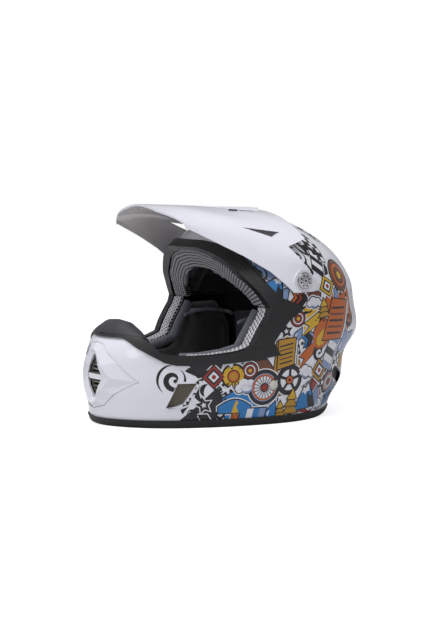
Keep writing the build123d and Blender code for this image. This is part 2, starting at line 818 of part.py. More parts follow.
def make_rivet():
    """The left strap rivet, with a domed head outside and a flat foot inside."""
    face = flank_x(strap_y, rivet_z) + seat_gap
    tail = strap_line()[0][0] - strap_wall / 2 - seat_gap
    head = dome(face, rivet_head_radius, rivet_head_rise, rivet_foot / 2)
    shank = along_y(rivet_shank, tail - rivet_foot, face)
    foot = along_y(rivet_tail, tail - rivet_foot, tail)
    return Pos(0, strap_y, rivet_z) * Rot(0, 0, -90) * (head + shank + foot)


def make_anchor():
    """The left steel plate between the shell and the strap."""
    plate = Pos(plate_face - plate_wall / 2, strap_y, rivet_z) * Box(plate_wall, strap_width, plate_height)
    plate = fillet(plate.edges().filter_by(Axis.X), rivet_shank)
    return plate - rivet_hole(1)


def strap_ring(lift):
    """A ring bent from flat steel, on its round bar in the strap's loop."""
    outer = Pos(-ring_length / 2) * Rectangle(ring_length + 2 * ring_wire, ring_width + 2 * ring_wire)
    outer = fillet(outer.vertices().group_by(Axis.X)[0], ring_nose)
    inner = Pos(-ring_length / 2) * Rectangle(ring_length - 2 * ring_wire, ring_width - 2 * ring_wire)
    inner = fillet(inner.vertices().group_by(Axis.X)[0], ring_nose - 2 * ring_wire)
    ring = extrude(outer - inner, ring_flat / 2, both=True)
    bar = Box(4 * ring_wire, ring_width - 2 * ring_wire, 4 * ring_wire)
    ring = ring - bar + along_y(ring_wire, -ring_width / 2, ring_width / 2)
    return Pos(ring_bar_x, strap_y, strap_z + lift) * ring


def make_snap():
    """The snap that holds the folded strap: a cap above, a foot below and the core between."""
    lower_face = strap_z - strap_wall / 2 - seat_gap
    upper_face = strap_z + fold_rise + strap_wall / 2 + seat_gap
    core = (strap_z + strap_wall / 2 + seat_gap, strap_z + fold_rise - strap_wall / 2 - seat_gap)
    pieces = [
        (snap_post, lower_face, upper_face),
        (snap_radius, lower_face - snap_rise, lower_face),
        (snap_radius, upper_face, upper_face + snap_rise),
        (snap_core, *core),
    ]
    snap = None
    for radius, low, high in pieces:
        disc = Pos(-snap_x, strap_y, (low + high) / 2) * Cylinder(radius, high - low)
        snap = disc if snap is None else snap + disc
    return snap


def stud_places():
    """Where the left cheek plate's studs stand, as (y, z)."""
    middle = cheek_face().center().Y
    low = foam_floor + stud_rise
    return [(middle - stud_reach, low), (middle + stud_reach, low), (middle + stud_reach, low + stud_step)]


def make_cheek_plate():
    """The left cheek pad's plate, with the studs that snap into the foam behind it."""
    back = cheek_outer + soft_gap
    face = back + cheek_plate_wall
    plate = Pos(back, 0, 0) * extrude(cheek_size(cheek_plate_share), cheek_plate_wall, dir=(1, 0, 0))
    plate &= band(foam_floor, shell_height)
    plate &= shell_form(foam_inset + snap_stud, liner_points)
    return plate + [rod(snap_stud, face, face + snap_stud_length, y, z) for y, z in stud_places()]


def make_cheek_foam():
    """The foam between the left cheek pad's plate and the shell."""
    low = cheek_outer + 2 * soft_gap + cheek_plate_wall
    block = Pos(low, 0, 0) * extrude(cheek_size(cheek_foam_share), half_width, dir=(1, 0, 0))
    block &= band(foam_floor, cheek_top - soft_gap)
    block &= shell_form(foam_inset, liner_points)
    depth = snap_stud_length + soft_gap
    return block - [rod(snap_stud + running_gap, low, low + depth, y, z) for y, z in stud_places()]


def make_piping():
    """The left roll of piping along the cheek pad's front edge."""
    places = [Vector(flank_x(y, z, bolster_inset), y, z) for y, z in side_points(BOLSTER_SHARES)]
    rings = []
    for n, place in enumerate(places):
        run = places[min(n + 1, len(places) - 1)] - places[max(n - 1, 0)]
        plane = Plane(origin=place, x_dir=Vector(1, 0, 0).cross(run), z_dir=run)
        rings.append((plane * Circle(bolster_radius)).wire())
    return Solid.make_loft(rings, ruled=True)


# Pieces that the helmet has once
SINGLES = {
    "outer_shell": make_shell,
    "eyeport_trim": make_trim,
    "nose_guard": make_guard,
    "edge_rubber": make_rubber,
    "chin_vent_cover": make_cover,
    "chin_grille": make_grille,
    "side_vents": make_side_vents,
    "crown_vents": make_crown_vents,
    "rear_vents": make_rear_vents,
    "crown_foam": make_crown_foam,
    "chin_foam": make_chin_foam,
    "brow_liner": make_brow_liner,
    "crown_pad": make_crown_pad,
    "neck_roll": make_neck_roll,
    "visor": make_visor,
    "strap_short": make_strap_short,
    "strap_long": make_strap_long,
    "strap_snap": make_snap,
}
# Pieces made for the left side and mirrored for the right, as two nodes
SIDES = {
    "cheek_foam": make_cheek_foam,
    "cheek_plate": make_cheek_plate,
    "cheek_pad": make_cheek_pad,
    "cheek_mesh": make_cheek_mesh,
    "cheek_piping": make_piping,
    "visor_screw": make_screw,
}
# Small pieces of which both sides share one node
PAIRS = {
    "visor_washers": make_washer,
    "visor_nuts": make_nut,
    "strap_rivets": make_rivet,
    "strap_plates": make_anchor,
}


def main():
    for name, make in SINGLES.items():
        save(name, make())
    for name, make in SIDES.items():
        left = make()
        save(name + "_left", left)
        save(name + "_right", mirrored(left))
    for name, make in PAIRS.items():
        left = make()
        save(name, Compound(children=[left.solid(), mirrored(left).solid()]))
    save("d_ring_upper", strap_ring(ring_stack))
    save("d_ring_lower", strap_ring(-ring_stack))


if __name__ == "__main__":
    main()
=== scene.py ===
import bisect
import json
import math

import bmesh
import bpy
from bpy.props import FloatProperty, FloatVectorProperty, IntProperty, PointerProperty
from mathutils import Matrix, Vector
from mathutils.bvhtree import BVHTree

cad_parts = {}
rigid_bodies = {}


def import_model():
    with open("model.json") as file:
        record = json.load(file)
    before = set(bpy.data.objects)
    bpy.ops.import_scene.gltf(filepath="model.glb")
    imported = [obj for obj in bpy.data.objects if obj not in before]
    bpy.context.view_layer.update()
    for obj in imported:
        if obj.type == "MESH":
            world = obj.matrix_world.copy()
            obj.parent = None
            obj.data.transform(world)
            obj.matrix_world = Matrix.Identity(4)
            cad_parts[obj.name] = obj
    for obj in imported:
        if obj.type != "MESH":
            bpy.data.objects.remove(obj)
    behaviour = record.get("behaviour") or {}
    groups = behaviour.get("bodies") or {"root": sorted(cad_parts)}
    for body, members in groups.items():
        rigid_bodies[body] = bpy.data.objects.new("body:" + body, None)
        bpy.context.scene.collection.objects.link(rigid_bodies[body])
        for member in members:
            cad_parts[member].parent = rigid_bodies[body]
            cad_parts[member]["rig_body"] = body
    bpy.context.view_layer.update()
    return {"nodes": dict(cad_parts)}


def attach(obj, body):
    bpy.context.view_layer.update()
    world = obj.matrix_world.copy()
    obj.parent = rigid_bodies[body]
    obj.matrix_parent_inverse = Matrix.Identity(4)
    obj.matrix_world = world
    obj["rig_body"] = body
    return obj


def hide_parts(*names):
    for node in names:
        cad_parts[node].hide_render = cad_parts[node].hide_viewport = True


bl_info = {
    "name": "Downhill Helmet",
    "version": (1, 0, 0),
    "blender": (4, 5, 0),
    "location": "3D View > Sidebar > Helmet",
    "description": "Dresses a full face helmet for downhill riding on its CAD frame",
    "category": "Object",
}

MM = 0.001
# Rays that look for a piece start this far from the middle.
far_off = 0.4
downwards = Vector((0, 0, -1))
# The eyeport's edge beside the cheek, from the temple down and forwards, in the side view.
PORT_LINE = (
    (-0.0246, 0.1687), (-0.0155, 0.1564), (-0.0079, 0.1429), (-0.0052, 0.1379), (-0.0071, 0.1292),
    (-0.0145, 0.1181), (-0.0219, 0.1058), (-0.0278, 0.0935), (-0.0421, 0.0889), (-0.0710, 0.0853),
    (-0.0922, 0.0846),
)
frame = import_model()
NODES = frame["nodes"]


# Colours and sizes that a user would change


def tone(red, green, blue):
    """A colour as a screen shows it, 0 to 255, as the linear colour that a shader takes."""
    parts = (red, green, blue)
    return tuple(((c / 255 + 0.055) / 1.055) ** 2.4 if c > 10 else c / 255 / 12.92 for c in parts)


def colour(name, description, default):
    """A colour property."""
    return FloatVectorProperty(
        name=name, description=description, subtype="COLOR", size=3, min=0, max=1, default=default
    )


def length(name, description, default):
    """A length property."""
    return FloatProperty(name=name, description=description, unit="LENGTH", min=0, default=default)


class HelmetColours(bpy.types.PropertyGroup):
    paint: colour("Paint", "Gloss paint of the shell and its chin vent cover", tone(226, 227, 235))
    composite: colour("Composite", "Bare inner face of the shell", tone(30, 30, 33))
    peak: colour("Peak", "Moulded gloss plastic of the peak", tone(228, 228, 237))
    # The peak's underside colour is painted shade: the same plastic, darker and warmer on faces that look
    # down.
    peak_painted_shade: colour("Peak underside", "The same plastic on the peak's lower face", tone(209, 204, 203))
    trim: colour("Trim", "Moulded edge of the eyeport", tone(22, 22, 24))
    guard: colour("Nose guard", "Soft rubber of the nose guard", tone(46, 46, 50))
    rubber: colour("Edge rubber", "Rubber channel on the lower edge", tone(18, 18, 20))
    cloth: colour("Pad cloth", "Knitted cloth of the pads", tone(24, 24, 27))
    suede: colour("Suede", "Brushed cloth of the piping and the neck roll", tone(102, 104, 113))
    mesh_thread: colour("Mesh thread", "Thread of the open mesh on the brow", tone(190, 189, 194))
    mesh_ground: colour("Mesh ground", "Cloth seen through the open mesh", tone(34, 33, 37))
    foam: colour("Foam", "Bead foam under the pads", tone(19, 19, 21))
    grille: colour("Chin grille", "Moulded slats behind the chin vent", tone(128, 127, 123))
    bronze: colour("Side vent", "Coated wire cloth of the side vents", tone(112, 106, 94))
    steel: colour("Steel", "Plated steel of the screws and rings", tone(232, 232, 236))
    rivet: colour("Rivet", "Enamel of the strap rivets", tone(206, 203, 194))
    webbing: colour("Webbing", "Woven chin strap", tone(26, 26, 29))


class HelmetSizes(bpy.types.PropertyGroup):
    pad_voxel: length("Pad mesh", "Grid on which the pads swell", 0.0045)
    pad_start: length("Pad start", "How far a pad shrinks before it swells", 0.0012)
    pad_cap: length("Pad cap", "How far a point of a pad may move", 0.006)
    pad_pressure: FloatProperty(
        name="Pad pressure", description="Air that swells the pads", min=0, default=4.0
    )
    pad_frames: IntProperty(
        name="Pad frames", description="Frames for which the pads swell", min=1, default=20
    )
    smooth_angle: FloatProperty(
        name="Smooth angle", description="Sharpest edge that is shaded smooth", subtype="ANGLE",
        default=math.radians(28),
    )


def colours():
    """The scene's colours."""
    return bpy.context.scene.helmet_colours


def sizes():
    """The scene's sizes."""
    return bpy.context.scene.helmet_sizes


# Materials


class Value:
    """A value inside a material, with Python's arithmetic."""

    def __init__(self, finish, socket):
        self.finish = finish
        self.socket = socket

    def calc(self, operation, *places):
        return self.finish.node("ShaderNodeMath", {"operation": operation}, dict(enumerate(places)))

    def __add__(self, other):
        return self.calc("ADD", self, other)

    __radd__ = __add__

    def __sub__(self, other):
        return self.calc("SUBTRACT", self, other)

    def __rsub__(self, other):
        return self.calc("SUBTRACT", other, self)

    def __mul__(self, other):
        return self.calc("MULTIPLY", self, other)

    __rmul__ = __mul__

    def __truediv__(self, other):
        return self.calc("DIVIDE", self, other)

    def __abs__(self):
        return self.calc("ABSOLUTE", self)

    def sin(self):
        return self.calc("SINE", self)

    def wave(self, pitch):
        """A sine wave over the value, with a pitch in metres."""
        return (self * (2 * math.pi / pitch)).sin()

    def fraction(self):
        return self.calc("FRACT", self)

    def floor(self):
        return self.calc("FLOOR", self)

    def root(self):
        return self.calc("SQRT", self)

    def kept(self, low, high):
        """The value, held between two limits."""
        return self.calc("MAXIMUM", self.calc("MINIMUM", self, high), low)

    def ramp(self, low, high):
        """0 at low and 1 at high, with a soft step between."""
        return self.finish.node(
            "ShaderNodeMapRange", {"interpolation_type": "SMOOTHSTEP"},
            {"Value": self, "From Min": low, "From Max": high},
        )


class Finish:
    """A material under construction."""

    def __init__(self, name, **constants):
        self.material = bpy.data.materials.new(name)
        self.material.use_nodes = True
        self.tree = self.material.node_tree
        self.shader = self.tree.nodes["Principled BSDF"]
        for socket, value in constants.items():
            self.give(socket.replace("_", " "), value)

    def node(self, kind, settings=None, inputs=None, output=0):
        made = self.tree.nodes.new(kind)
        for name, value in (settings or {}).items():
            setattr(made, name, value)
        for socket, value in (inputs or {}).items():
            self.join(made.inputs[socket], value)
        return Value(self, made.outputs[output])

    def join(self, socket, value):
        if isinstance(value, Value):
            self.tree.links.new(value.socket, socket)
        elif socket.type == "RGBA":
            socket.default_value = (*value[:3], 1)
        else:
            socket.default_value = value

    def give(self, socket, value):
        self.join(self.shader.inputs[socket], value)

    def place(self):
        """The object coordinates, as a vector."""
        return self.node("ShaderNodeTexCoord", output="Object")

    def axes(self, vector=None):
        """X, Y and Z of a vector, or of the object coordinates, in metres."""
        vector = vector or self.place()
        return [self.node("ShaderNodeSeparateXYZ", None, {0: vector}, n) for n in range(3)]

    def noise(self, size, detail=2.0):
        """Soft noise from 0 to 1 with spots of a size in metres."""
        inputs = {"Vector": self.place(), "Scale": 1 / size, "Detail": detail}
        return self.node("ShaderNodeTexNoise", None, inputs)

    def blend(self, factor, low, high):
        """A colour between two colours."""
        return self.node("ShaderNodeMix", {"data_type": "RGBA"}, {0: factor, 6: low, 7: high}, 2)

    def ended(self, rough, height, distance):
        """Gives the roughness and the relief, and ends the material."""
        self.give("Roughness", rough)
        self.bump(height, distance)
        return self.material

    def tint(self, factor, base, low, high):
        """Gives the base colour, from one share of a colour to another."""
        self.give("Base Color", self.blend(factor, shade(base, low), shade(base, high)))

    def bump(self, height, distance):
        """Relief from a height of 0 to 1 that stands distance proud."""
        self.give("Normal", self.node("ShaderNodeBump", None, {"Height": height, "Distance": distance}))


def shade(pale, share):
    """A colour made lighter or darker by a share."""
    return tuple(min(1.0, c * share) for c in pale)


# The middle of the head, and about how far the shell is from it.
head_middle = (0, 0, 0.11)
head_reach = 0.13
# A pressed line's half width, over which its painted shade also spreads, its depth and its share of the
# relief, and the pitches of foam and webbing.
crease_half = 1.1 * MM
crease_depth = 0.6 * MM
crease_share = 0.94
bead_size = 3.5 * MM
rib_pitch = 1.4 * MM
thread_pitch = 1.1 * MM


def gloss_paint(name, base, under=None, inner=None):
    """Gloss paint under lacquer, with the faint ripple of a sprayed coat, painted shade on faces that look
    down, and bare faces within.
    """
    finish = Finish(name, Coat_Weight=1.0, Coat_Roughness=0.04, Specular_IOR_Level=0.5)
    dust = finish.noise(0.09, 3)
    coat = finish.blend(dust, shade(base, 0.975), shade(base, 1.02))
    if under:
        # Painted shade: faces that look down take the under colour.
        up = finish.axes(finish.node("ShaderNodeTexCoord", output="Normal"))[2]
        coat = finish.blend(up.ramp(-0.25, 0.05), under, coat)
    if inner:
        facing = finish.axes(finish.node("ShaderNodeTexCoord", output="Normal"))
        outward = sum((place - m) * n for place, m, n in zip(finish.axes(), head_middle, facing))
        coat = finish.blend((outward / head_reach).ramp(-0.6, -0.4), inner, coat)
    finish.give("Base Color", coat)
    return finish.ended(finish.noise(0.03, 2) * 0.08 + 0.20, finish.noise(0.0065, 2), 0.00002)


def away(y, z, start, end):
    """How far a place is from a straight line between two points of the side view."""
    dy, dz = end[0] - start[0], end[1] - start[1]
    share = (((y - start[0]) * dy + (z - start[1]) * dz) / (dy * dy + dz * dz)).kept(0, 1)
    gap_y = y - start[0] - share * dy
    gap_z = z - start[1] - share * dz
    return (gap_y * gap_y + gap_z * gap_z).root()


def creased(name, base, rough, creases):
    """Satin plastic with pressed lines, each between two points of the side view, and painted shade darkening
    the colour along each line.
    """
    finish = Finish(name)
    x, y, z = finish.axes()
    line = None
    for start, end in creases:
        near = away(y, z, start, end).ramp(0.0, crease_half)
        line = near if line is None else line * near
    rubbed = finish.noise(0.04, 4)
    worn = finish.blend(rubbed, shade(base, 0.8), shade(base, 1.25))
    # Painted shade: the colour darkens along each pressed line.
    finish.give("Base Color", finish.blend(line, shade(base, 0.3), worn))
    relief = line * crease_share + finish.noise(0.6 * MM, 2) * (1 - crease_share)
    return finish.ended(rough + 0.1 - rubbed * 0.2, relief, crease_depth)


def print_gloss(name):
    """Printed ink under the shell's lacquer, in the colours that the motifs carry."""
    finish = Finish(name, Coat_Weight=0.45, Coat_Roughness=0.06, Specular_IOR_Level=0.3)
    ink = finish.node("ShaderNodeVertexColor", {"layer_name": "ink"})
    grain = finish.noise(0.0006, 2) * 0.5 + finish.noise(0.012, 3) * 0.5
    multiply = {"data_type": "RGBA", "blend_type": "MULTIPLY"}
    dark = finish.node("ShaderNodeMix", multiply, {0: 1.0, 6: ink, 7: (0.8, 0.8, 0.8)}, 2)
    finish.give("Base Color", finish.blend(grain, dark, ink))
    finish.give("Roughness", finish.noise(0.01, 2) * 0.1 + 0.28)
    return finish.material


def moulded(name, base, rough, grain, depth):
    """Moulded plastic or rubber with a fine grain, rubbed smoother in places."""
    finish = Finish(name)
    rubbed = finish.noise(0.04, 4)
    finish.tint(rubbed, base, 0.85, 1.3)
    return finish.ended(rough + 0.12 - rubbed * 0.24, finish.noise(grain, 2), depth)


def knit(name, base, pitch):
    """Close knitted cloth: small loops in rows, with a soft nap, painted shade between the loops and painted
    highlight on them, and random tone.
    """
    finish = Finish(name, Sheen_Weight=0.35, Sheen_Roughness=0.5)
    x, y, z = finish.axes()
    around = x + y
    rows = z.wave(pitch)
    loops = (around * (2 * math.pi / pitch) + rows * 1.2).sin()
    relief = (rows * loops) * 0.5 + 0.5
    fade = finish.noise(0.02, 3)
    # Painted shade and highlight: the colour follows the loops' relief, mixed with random tone.
    finish.tint(relief * 0.6 + fade * 0.4, base, 0.6, 1.5)
    return finish.ended(fade * 0.15 + 0.75, relief, 0.0002)


# The soft edge of a cell, as a share of its pitch, and the plain ground.
net_soft = 0.07
net_ground = tone(14, 14, 16)


def net(name, cell, line, pitch, shares, reach, stagger=0.0, slant=0.0):
    """Open mesh cloth in rows along its UV map: cells and lines in two colours, and plain past its reach."""
    finish = Finish(name, Sheen_Weight=0.2)
    u, v, w = finish.axes(finish.node("ShaderNodeUVMap", {"uv_map": "weave"}))
    row = v / pitch[1]
    step = row.floor()
    across = (u / pitch[0] + step * stagger + (row - step) * slant).fraction()
    side = 1 - (abs(across - 0.5) - shares[0] / 2).ramp(-net_soft, net_soft)
    top = 1 - (abs(row - step - 0.5) - shares[1] / 2).ramp(-net_soft, net_soft)
    inside = side * top
    worn = finish.noise(0.006, 3)
    lines = finish.blend(worn, shade(line, 0.72), shade(line, 1.2))
    cells = finish.blend(worn, shade(cell, 0.72), shade(cell, 1.2))
    past = v.ramp(reach, reach + MM)
    finish.give("Base Color", finish.blend(past, finish.blend(inside, lines, cells), net_ground))
    return finish.ended(worn * 0.2 + 0.7, inside if sum(cell) > sum(line) else 1 - inside, 0.0004)


def brushed(name, base):
    """Brushed suede: a short nap that lies lighter and darker in patches."""
    finish = Finish(name, Sheen_Weight=0.5, Sheen_Roughness=0.4)
    patches = finish.noise(0.011, 3)
    nap = finish.noise(0.0007, 2)
    finish.tint(patches * 0.6 + nap * 0.4, base, 0.62, 1.35)
    return finish.ended(patches * 0.1 + 0.82, nap, 0.00025)


def bead_foam(name, base):
    """Moulded bead foam: beads a few millimetres across, pressed flat together, with painted shade darkening
    each bead towards its edge and a painted highlight at its middle.
    """
    finish = Finish(name)
    beads = finish.node("ShaderNodeTexVoronoi", None, {"Vector": finish.place(), "Scale": 1 / bead_size})
    # Painted shade and highlight: each bead is lighter at its middle and darker at its low edge.
    finish.tint(beads, base, 1.2, 0.7)
    return finish.ended(finish.noise(0.01) * 0.1 + 0.8, 1 - beads, 0.0002)


def plated(name, base, rough):
    """Plated steel, turned, with fine hairlines."""
    finish = Finish(name, Metallic=1.0)
    lines = finish.noise(0.0012, 4)
    finish.tint(lines, base, 0.82, 1.05)
    return finish.ended(lines * 0.15 + rough, lines, 0.00001)


def enamel(name, base):
    """Thick enamel with a few dull specks."""
    finish = Finish(name, Coat_Weight=0.6, Coat_Roughness=0.1)
    specks = finish.noise(0.0025, 3)
    finish.give("Base Color", finish.blend(specks.ramp(0.45, 0.75), base, shade(base, 0.78)))
    finish.give("Roughness", specks * 0.2 + 0.25)
    return finish.material


def webbing(name, base):
    """Woven strap: ribs across it, and the weave between them, with painted shade in the hollows of the weave
    and painted highlight on its tops.
    """
    finish = Finish(name, Sheen_Weight=0.2)
    x, y, z = finish.axes()
    ribs = (x - z).wave(rib_pitch) * 0.5 + 0.5
    threads = y.wave(thread_pitch) * 0.5 + 0.5
    relief = ribs * 0.6 + threads * 0.4
    # Painted shade and highlight: the colour follows the weave's relief.
    finish.tint(relief, base, 0.55, 1.5)
    return finish.ended(finish.noise(0.006) * 0.15 + 0.7, relief, 0.00025)


def wire_cloth(name, base, pitch):
    """Coated wire cloth: crossed wires, with painted shade as a dark ground in the gaps between them."""
    finish = Finish(name, Metallic=0.5)
    x, y, z = finish.axes()
    one = (y + z).wave(pitch)
    two = (y - z).wave(pitch)
    wires = abs(one).ramp(0.45, 0.75) * abs(two).ramp(0.45, 0.75)
    # Painted shade: the gaps between the wires, masked by wires, turn dark.
    finish.tint(wires, base, 1.15, 0.22)
    return finish.ended(finish.noise(0.004) * 0.2 + 0.4, 1 - wires, 0.0005)


# Mesh work


def only(*pieces):
    """Selects just these pieces, the first one active."""
    if bpy.context.mode != "OBJECT":
        bpy.ops.object.mode_set(mode="OBJECT")
    bpy.ops.object.select_all(action="DESELECT")
    for piece in pieces:
        piece.select_set(True)
    bpy.context.view_layer.objects.active = pieces[0]


def settle(piece, body, slot, *nodes):
    """Puts a finished piece on its body, in the place of the CAD nodes that it stands for."""
    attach(piece, body)
    if nodes:
        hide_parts(*nodes)
    return piece


# Points nearer than this are one point, and a cut takes points within its own reach as on it.
same_point = 0.02 * MM
cut_reach = 1e-7


def merged_copy(node, name):
    """A copy of a CAD piece with its loose triangles joined up."""
    piece = bpy.data.objects.new(name, NODES[node].data.copy())
    bpy.context.scene.collection.objects.link(piece)
    piece.data.materials.clear()
    only(piece)
    bpy.ops.mesh.customdata_custom_splitnormals_clear()
    bpy.ops.object.mode_set(mode="EDIT")
    bpy.ops.mesh.select_all(action="SELECT")
    bpy.ops.mesh.remove_doubles(threshold=same_point)
    bpy.ops.object.mode_set(mode="OBJECT")
    return piece


def dressed(node, material, slot, angle=None):
    """A CAD piece, joined up, shaded smooth between its edges, in its finish."""
    piece = merged_copy(node, "dressed_" + node)
    bpy.ops.object.shade_smooth_by_angle(angle=angle or sizes().smooth_angle)
    piece.data.materials.append(material)
    return settle(piece, NODES[node]["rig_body"], slot, node)


def applied(piece, kind, name, **settings):
    """Puts a modifier with its settings on the active piece, and applies it."""
    modifier = piece.modifiers.new(name, kind)
    for setting, value in settings.items():
        setattr(modifier, setting, value)
    bpy.ops.object.modifier_apply(modifier=modifier.name)


def faces_of(piece):
    """A piece's faces, as a tree that rays can meet."""
    mesh = piece.data
    return BVHTree.FromPolygons([v.co for v in mesh.vertices], [list(p.vertices) for p in mesh.polygons])


def swell(piece):
    """Swells a closed piece as stuffing does, and caps how far it moves."""
    sizes_now = sizes()
    only(piece)
    applied(piece, "REMESH", "Even mesh", mode="VOXEL", voxel_size=sizes_now.pad_voxel)
    applied(piece, "DISPLACE", "Start", strength=-sizes_now.pad_start, mid_level=0)
    start = [v.co.copy() for v in piece.data.vertices]
    cloth = piece.modifiers.new("Stuffing", "CLOTH")
    cloth.settings.use_pressure = True
    cloth.settings.uniform_pressure_force = sizes_now.pad_pressure
    cloth.settings.effector_weights.gravity = 0
    cloth.settings.quality = 5
    cloth.point_cache.frame_start = 1
    cloth.point_cache.frame_end = sizes_now.pad_frames
    for step in range(1, sizes_now.pad_frames + 1):
        bpy.context.scene.frame_set(step)
    bpy.ops.object.modifier_apply(modifier=cloth.name)
    bpy.context.scene.frame_set(1)
    for vertex, was in zip(piece.data.vertices, start):
        move = vertex.co - was
        if move.length > sizes_now.pad_cap:
            vertex.co = was + move * (sizes_now.pad_cap / move.length)
    applied(piece, "SUBSURF", "Finer", levels=1, render_levels=1)
    bpy.ops.object.shade_smooth()
    return piece


# The printed artwork: flat motifs, laid onto the shell in thin tiers

# The widest face of the print, its lift above the paint, the step between tiers, and its lower end.
art_cell = 4.0 * MM
art_lift = 0.24 * MM
art_tier = 0.07 * MM
art_floor = 7.0 * MM
# The widths of a motif's ink line and of the white border outside it, in millimetres.
art_line = 1.3
art_border = 1.3
# The tiers of the grounds' lines and of their inks, and the drop of a motif's border below its ink.
ground_tiers = (-1.6, -1.2)
border_drop = 0.8
# Motifs that overlap are kept apart by a small step of the tier, over so many motifs.
layout_step = 0.12
layout_cycle = 7
INKS = {
    "line": tone(10, 10, 13),
    "white": tone(232, 233, 240),
    "orange": tone(196, 98, 30),
    "ochre": tone(186, 138, 38),
    "yellow": tone(216, 172, 44),
    "blue": tone(38, 124, 192),
    "haze": tone(132, 154, 196),
    "red": tone(150, 48, 38),
    "brown": tone(112, 66, 46),
    "coal": tone(32, 31, 38),
}


def arc(radius, start, end, count, middle):
    """Points along an arc, from one angle in degrees to another."""
    turns = [math.radians(start + (end - start) * n / count) for n in range(count + 1)]
    return [(middle[0] + radius * math.cos(t), middle[1] + radius * math.sin(t)) for t in turns]


def disc(radius, middle=(0, 0), count=30):
    """A round outline."""
    return arc(radius, 0, 360 - 360 / count, count - 1, middle)


def star(outer, inner, count):
    """A star with one point up."""
    points = []
    for n in range(2 * count):
        t = math.radians(90 + 180 * n / count)
        reach = inner if n % 2 else outer
        points.append((reach * math.cos(t), reach * math.sin(t)))
    return points


def cog(radius, depth, count):
    """The outline of a toothed wheel with square teeth."""
    points = []
    for n in range(count):
        for share, reach in ((-0.32, radius - depth), (-0.2, radius), (0.2, radius), (0.32, radius - depth)):
            t = math.radians(360 * (n + share) / count)
            points.append((reach * math.cos(t), reach * math.sin(t)))
    return points


def beam(start, end, width):
    """A straight strip between two points."""
    dx, dy = end[0] - start[0], end[1] - start[1]
    scale = width / 2 / math.hypot(dx, dy)
    nx, ny = -dy * scale, dx * scale
    return [
        (start[0] - nx, start[1] - ny), (end[0] - nx, end[1] - ny),
        (end[0] + nx, end[1] + ny), (start[0] + nx, start[1] + ny),
    ]


# The share of a step that a stroke's tip stands past its line, and the most that a corner grows out.
stroke_tip = 0.15
corner_most = 1.8


def stroke(middle, width):
    """Quads along a line, for a stroke that swells and runs to a point at both ends."""
    steps = len(middle) - 1 + 2 * stroke_tip
    left, right = [], []
    for n, (x, y) in enumerate(middle):
        ahead, behind = middle[min(n + 1, len(middle) - 1)], middle[max(n - 1, 0)]
        dx, dy = ahead[0] - behind[0], ahead[1] - behind[1]
        half = width / 2 * math.sin(math.pi * (n + stroke_tip) / steps) / math.hypot(dx, dy)
        left.append((x - dy * half, y + dx * half))
        right.append((x + dy * half, y - dx * half))
    return [[right[n], right[n + 1], left[n + 1], left[n]] for n in range(len(middle) - 1)]


def curl(radius, start, end, growth, count=26, middle=(0, 0)):
    """A line that winds outwards from a radius."""
    made = []
    for n in range(count + 1):
        t = math.radians(start + (end - start) * n / count)
        reach = radius + growth * n / count
        made.append((middle[0] + reach * math.cos(t), middle[1] + reach * math.sin(t)))
    return made


def inked(quads, ink="line"):
    """The quads of a stroke in an ink, without an outline."""
    return [(ink, quad, 0) for quad in quads]


def grown(points, width):
    """A closed outline moved outwards by a width."""
    area = sum(a[0] * b[1] - b[0] * a[1] for a, b in zip(points, points[1:] + points[:1]))
    points = [Vector(p) for p in (points if area > 0 else reversed(points))]
    moved = []
    for n, here in enumerate(points):
        one = (here - points[n - 1]).normalized()
        two = (points[(n + 1) % len(points)] - here).normalized()
        out = Vector((one.y + two.y, -one.x - two.x))
        if out.length < 0.05:
            moved.append(here)
            continue
        out.normalize()
        reach = min(corner_most, 1 / max(0.2, out.dot(Vector((one.y, -one.x)))))
        moved.append(here + out * width * reach)
    return [tuple(p) for p in moved]


def stacked(shapes):
    """Shapes that lie each on the one before."""
    return [[shape] for shape in shapes]


def wheel():
    spokes = []
    for n in range(9):
        t = math.radians(20 * n)
        end = (0.68 * math.cos(t), 0.68 * math.sin(t))
        spokes.append(("line", beam((-end[0], -end[1]), end, 0.045), 0))
    rings = [
        ("coal", disc(1.0), 1), ("haze", disc(0.84), 0), ("orange", disc(0.78), 0), ("white", disc(0.66), 0),
    ]
    return stacked(rings) + [spokes, [("red", disc(0.2), 1)]]


def sun():
    return stacked([("yellow", star(1.0, 0.58, 14), 1), ("orange", disc(0.5), 1), ("ochre", disc(0.34), 0)])


def peaks():
    far = [(0.1, -0.6), (1.15, -0.6), (0.62, 0.5), (0.45, 0.34)]
    near = [(-1.1, -0.6), (0.72, -0.6), (0.25, 0.1), (0.12, 0.02), (-0.2, 0.8), (-0.38, 0.52), (-0.5, 0.6)]
    snow = [
        (-0.2, 0.8), (-0.38, 0.52), (-0.5, 0.6), (-0.66, 0.28), (-0.48, 0.34), (-0.36, 0.16), (-0.2, 0.34),
        (-0.03, 0.34),
    ]
    shade_side = [(-0.2, 0.3), (0.12, 0.02), (0.25, 0.1), (0.72, -0.6), (0.1, -0.6), (-0.1, -0.1)]
    return [[("haze", far, 1)], [("blue", near, 1)], [("white", snow, 0), ("coal", shade_side, 0)]]


def pine():
    tiers = [
        [(-0.62, -0.55), (0.62, -0.55), (0.0, 0.25)],
        [(-0.5, -0.1), (0.5, -0.1), (0.0, 0.6)],
        [(-0.36, 0.35), (0.36, 0.35), (0.0, 1.0)],
    ]
    trunk = beam((0, -1.0), (0, -0.4), 0.26)
    inks = ("ochre", "ochre", "yellow")
    return [[("brown", trunk, 1)]] + [[(ink, points, 1)] for ink, points in zip(inks, tiers)]


def bolt(ink):
    points = [
        (0.2, 1.0), (-0.52, -0.12), (-0.04, -0.12), (-0.3, -1.0), (0.55, 0.24), (0.08, 0.24), (0.5, 1.0),
    ]
    return [[(ink, points, 1)]]


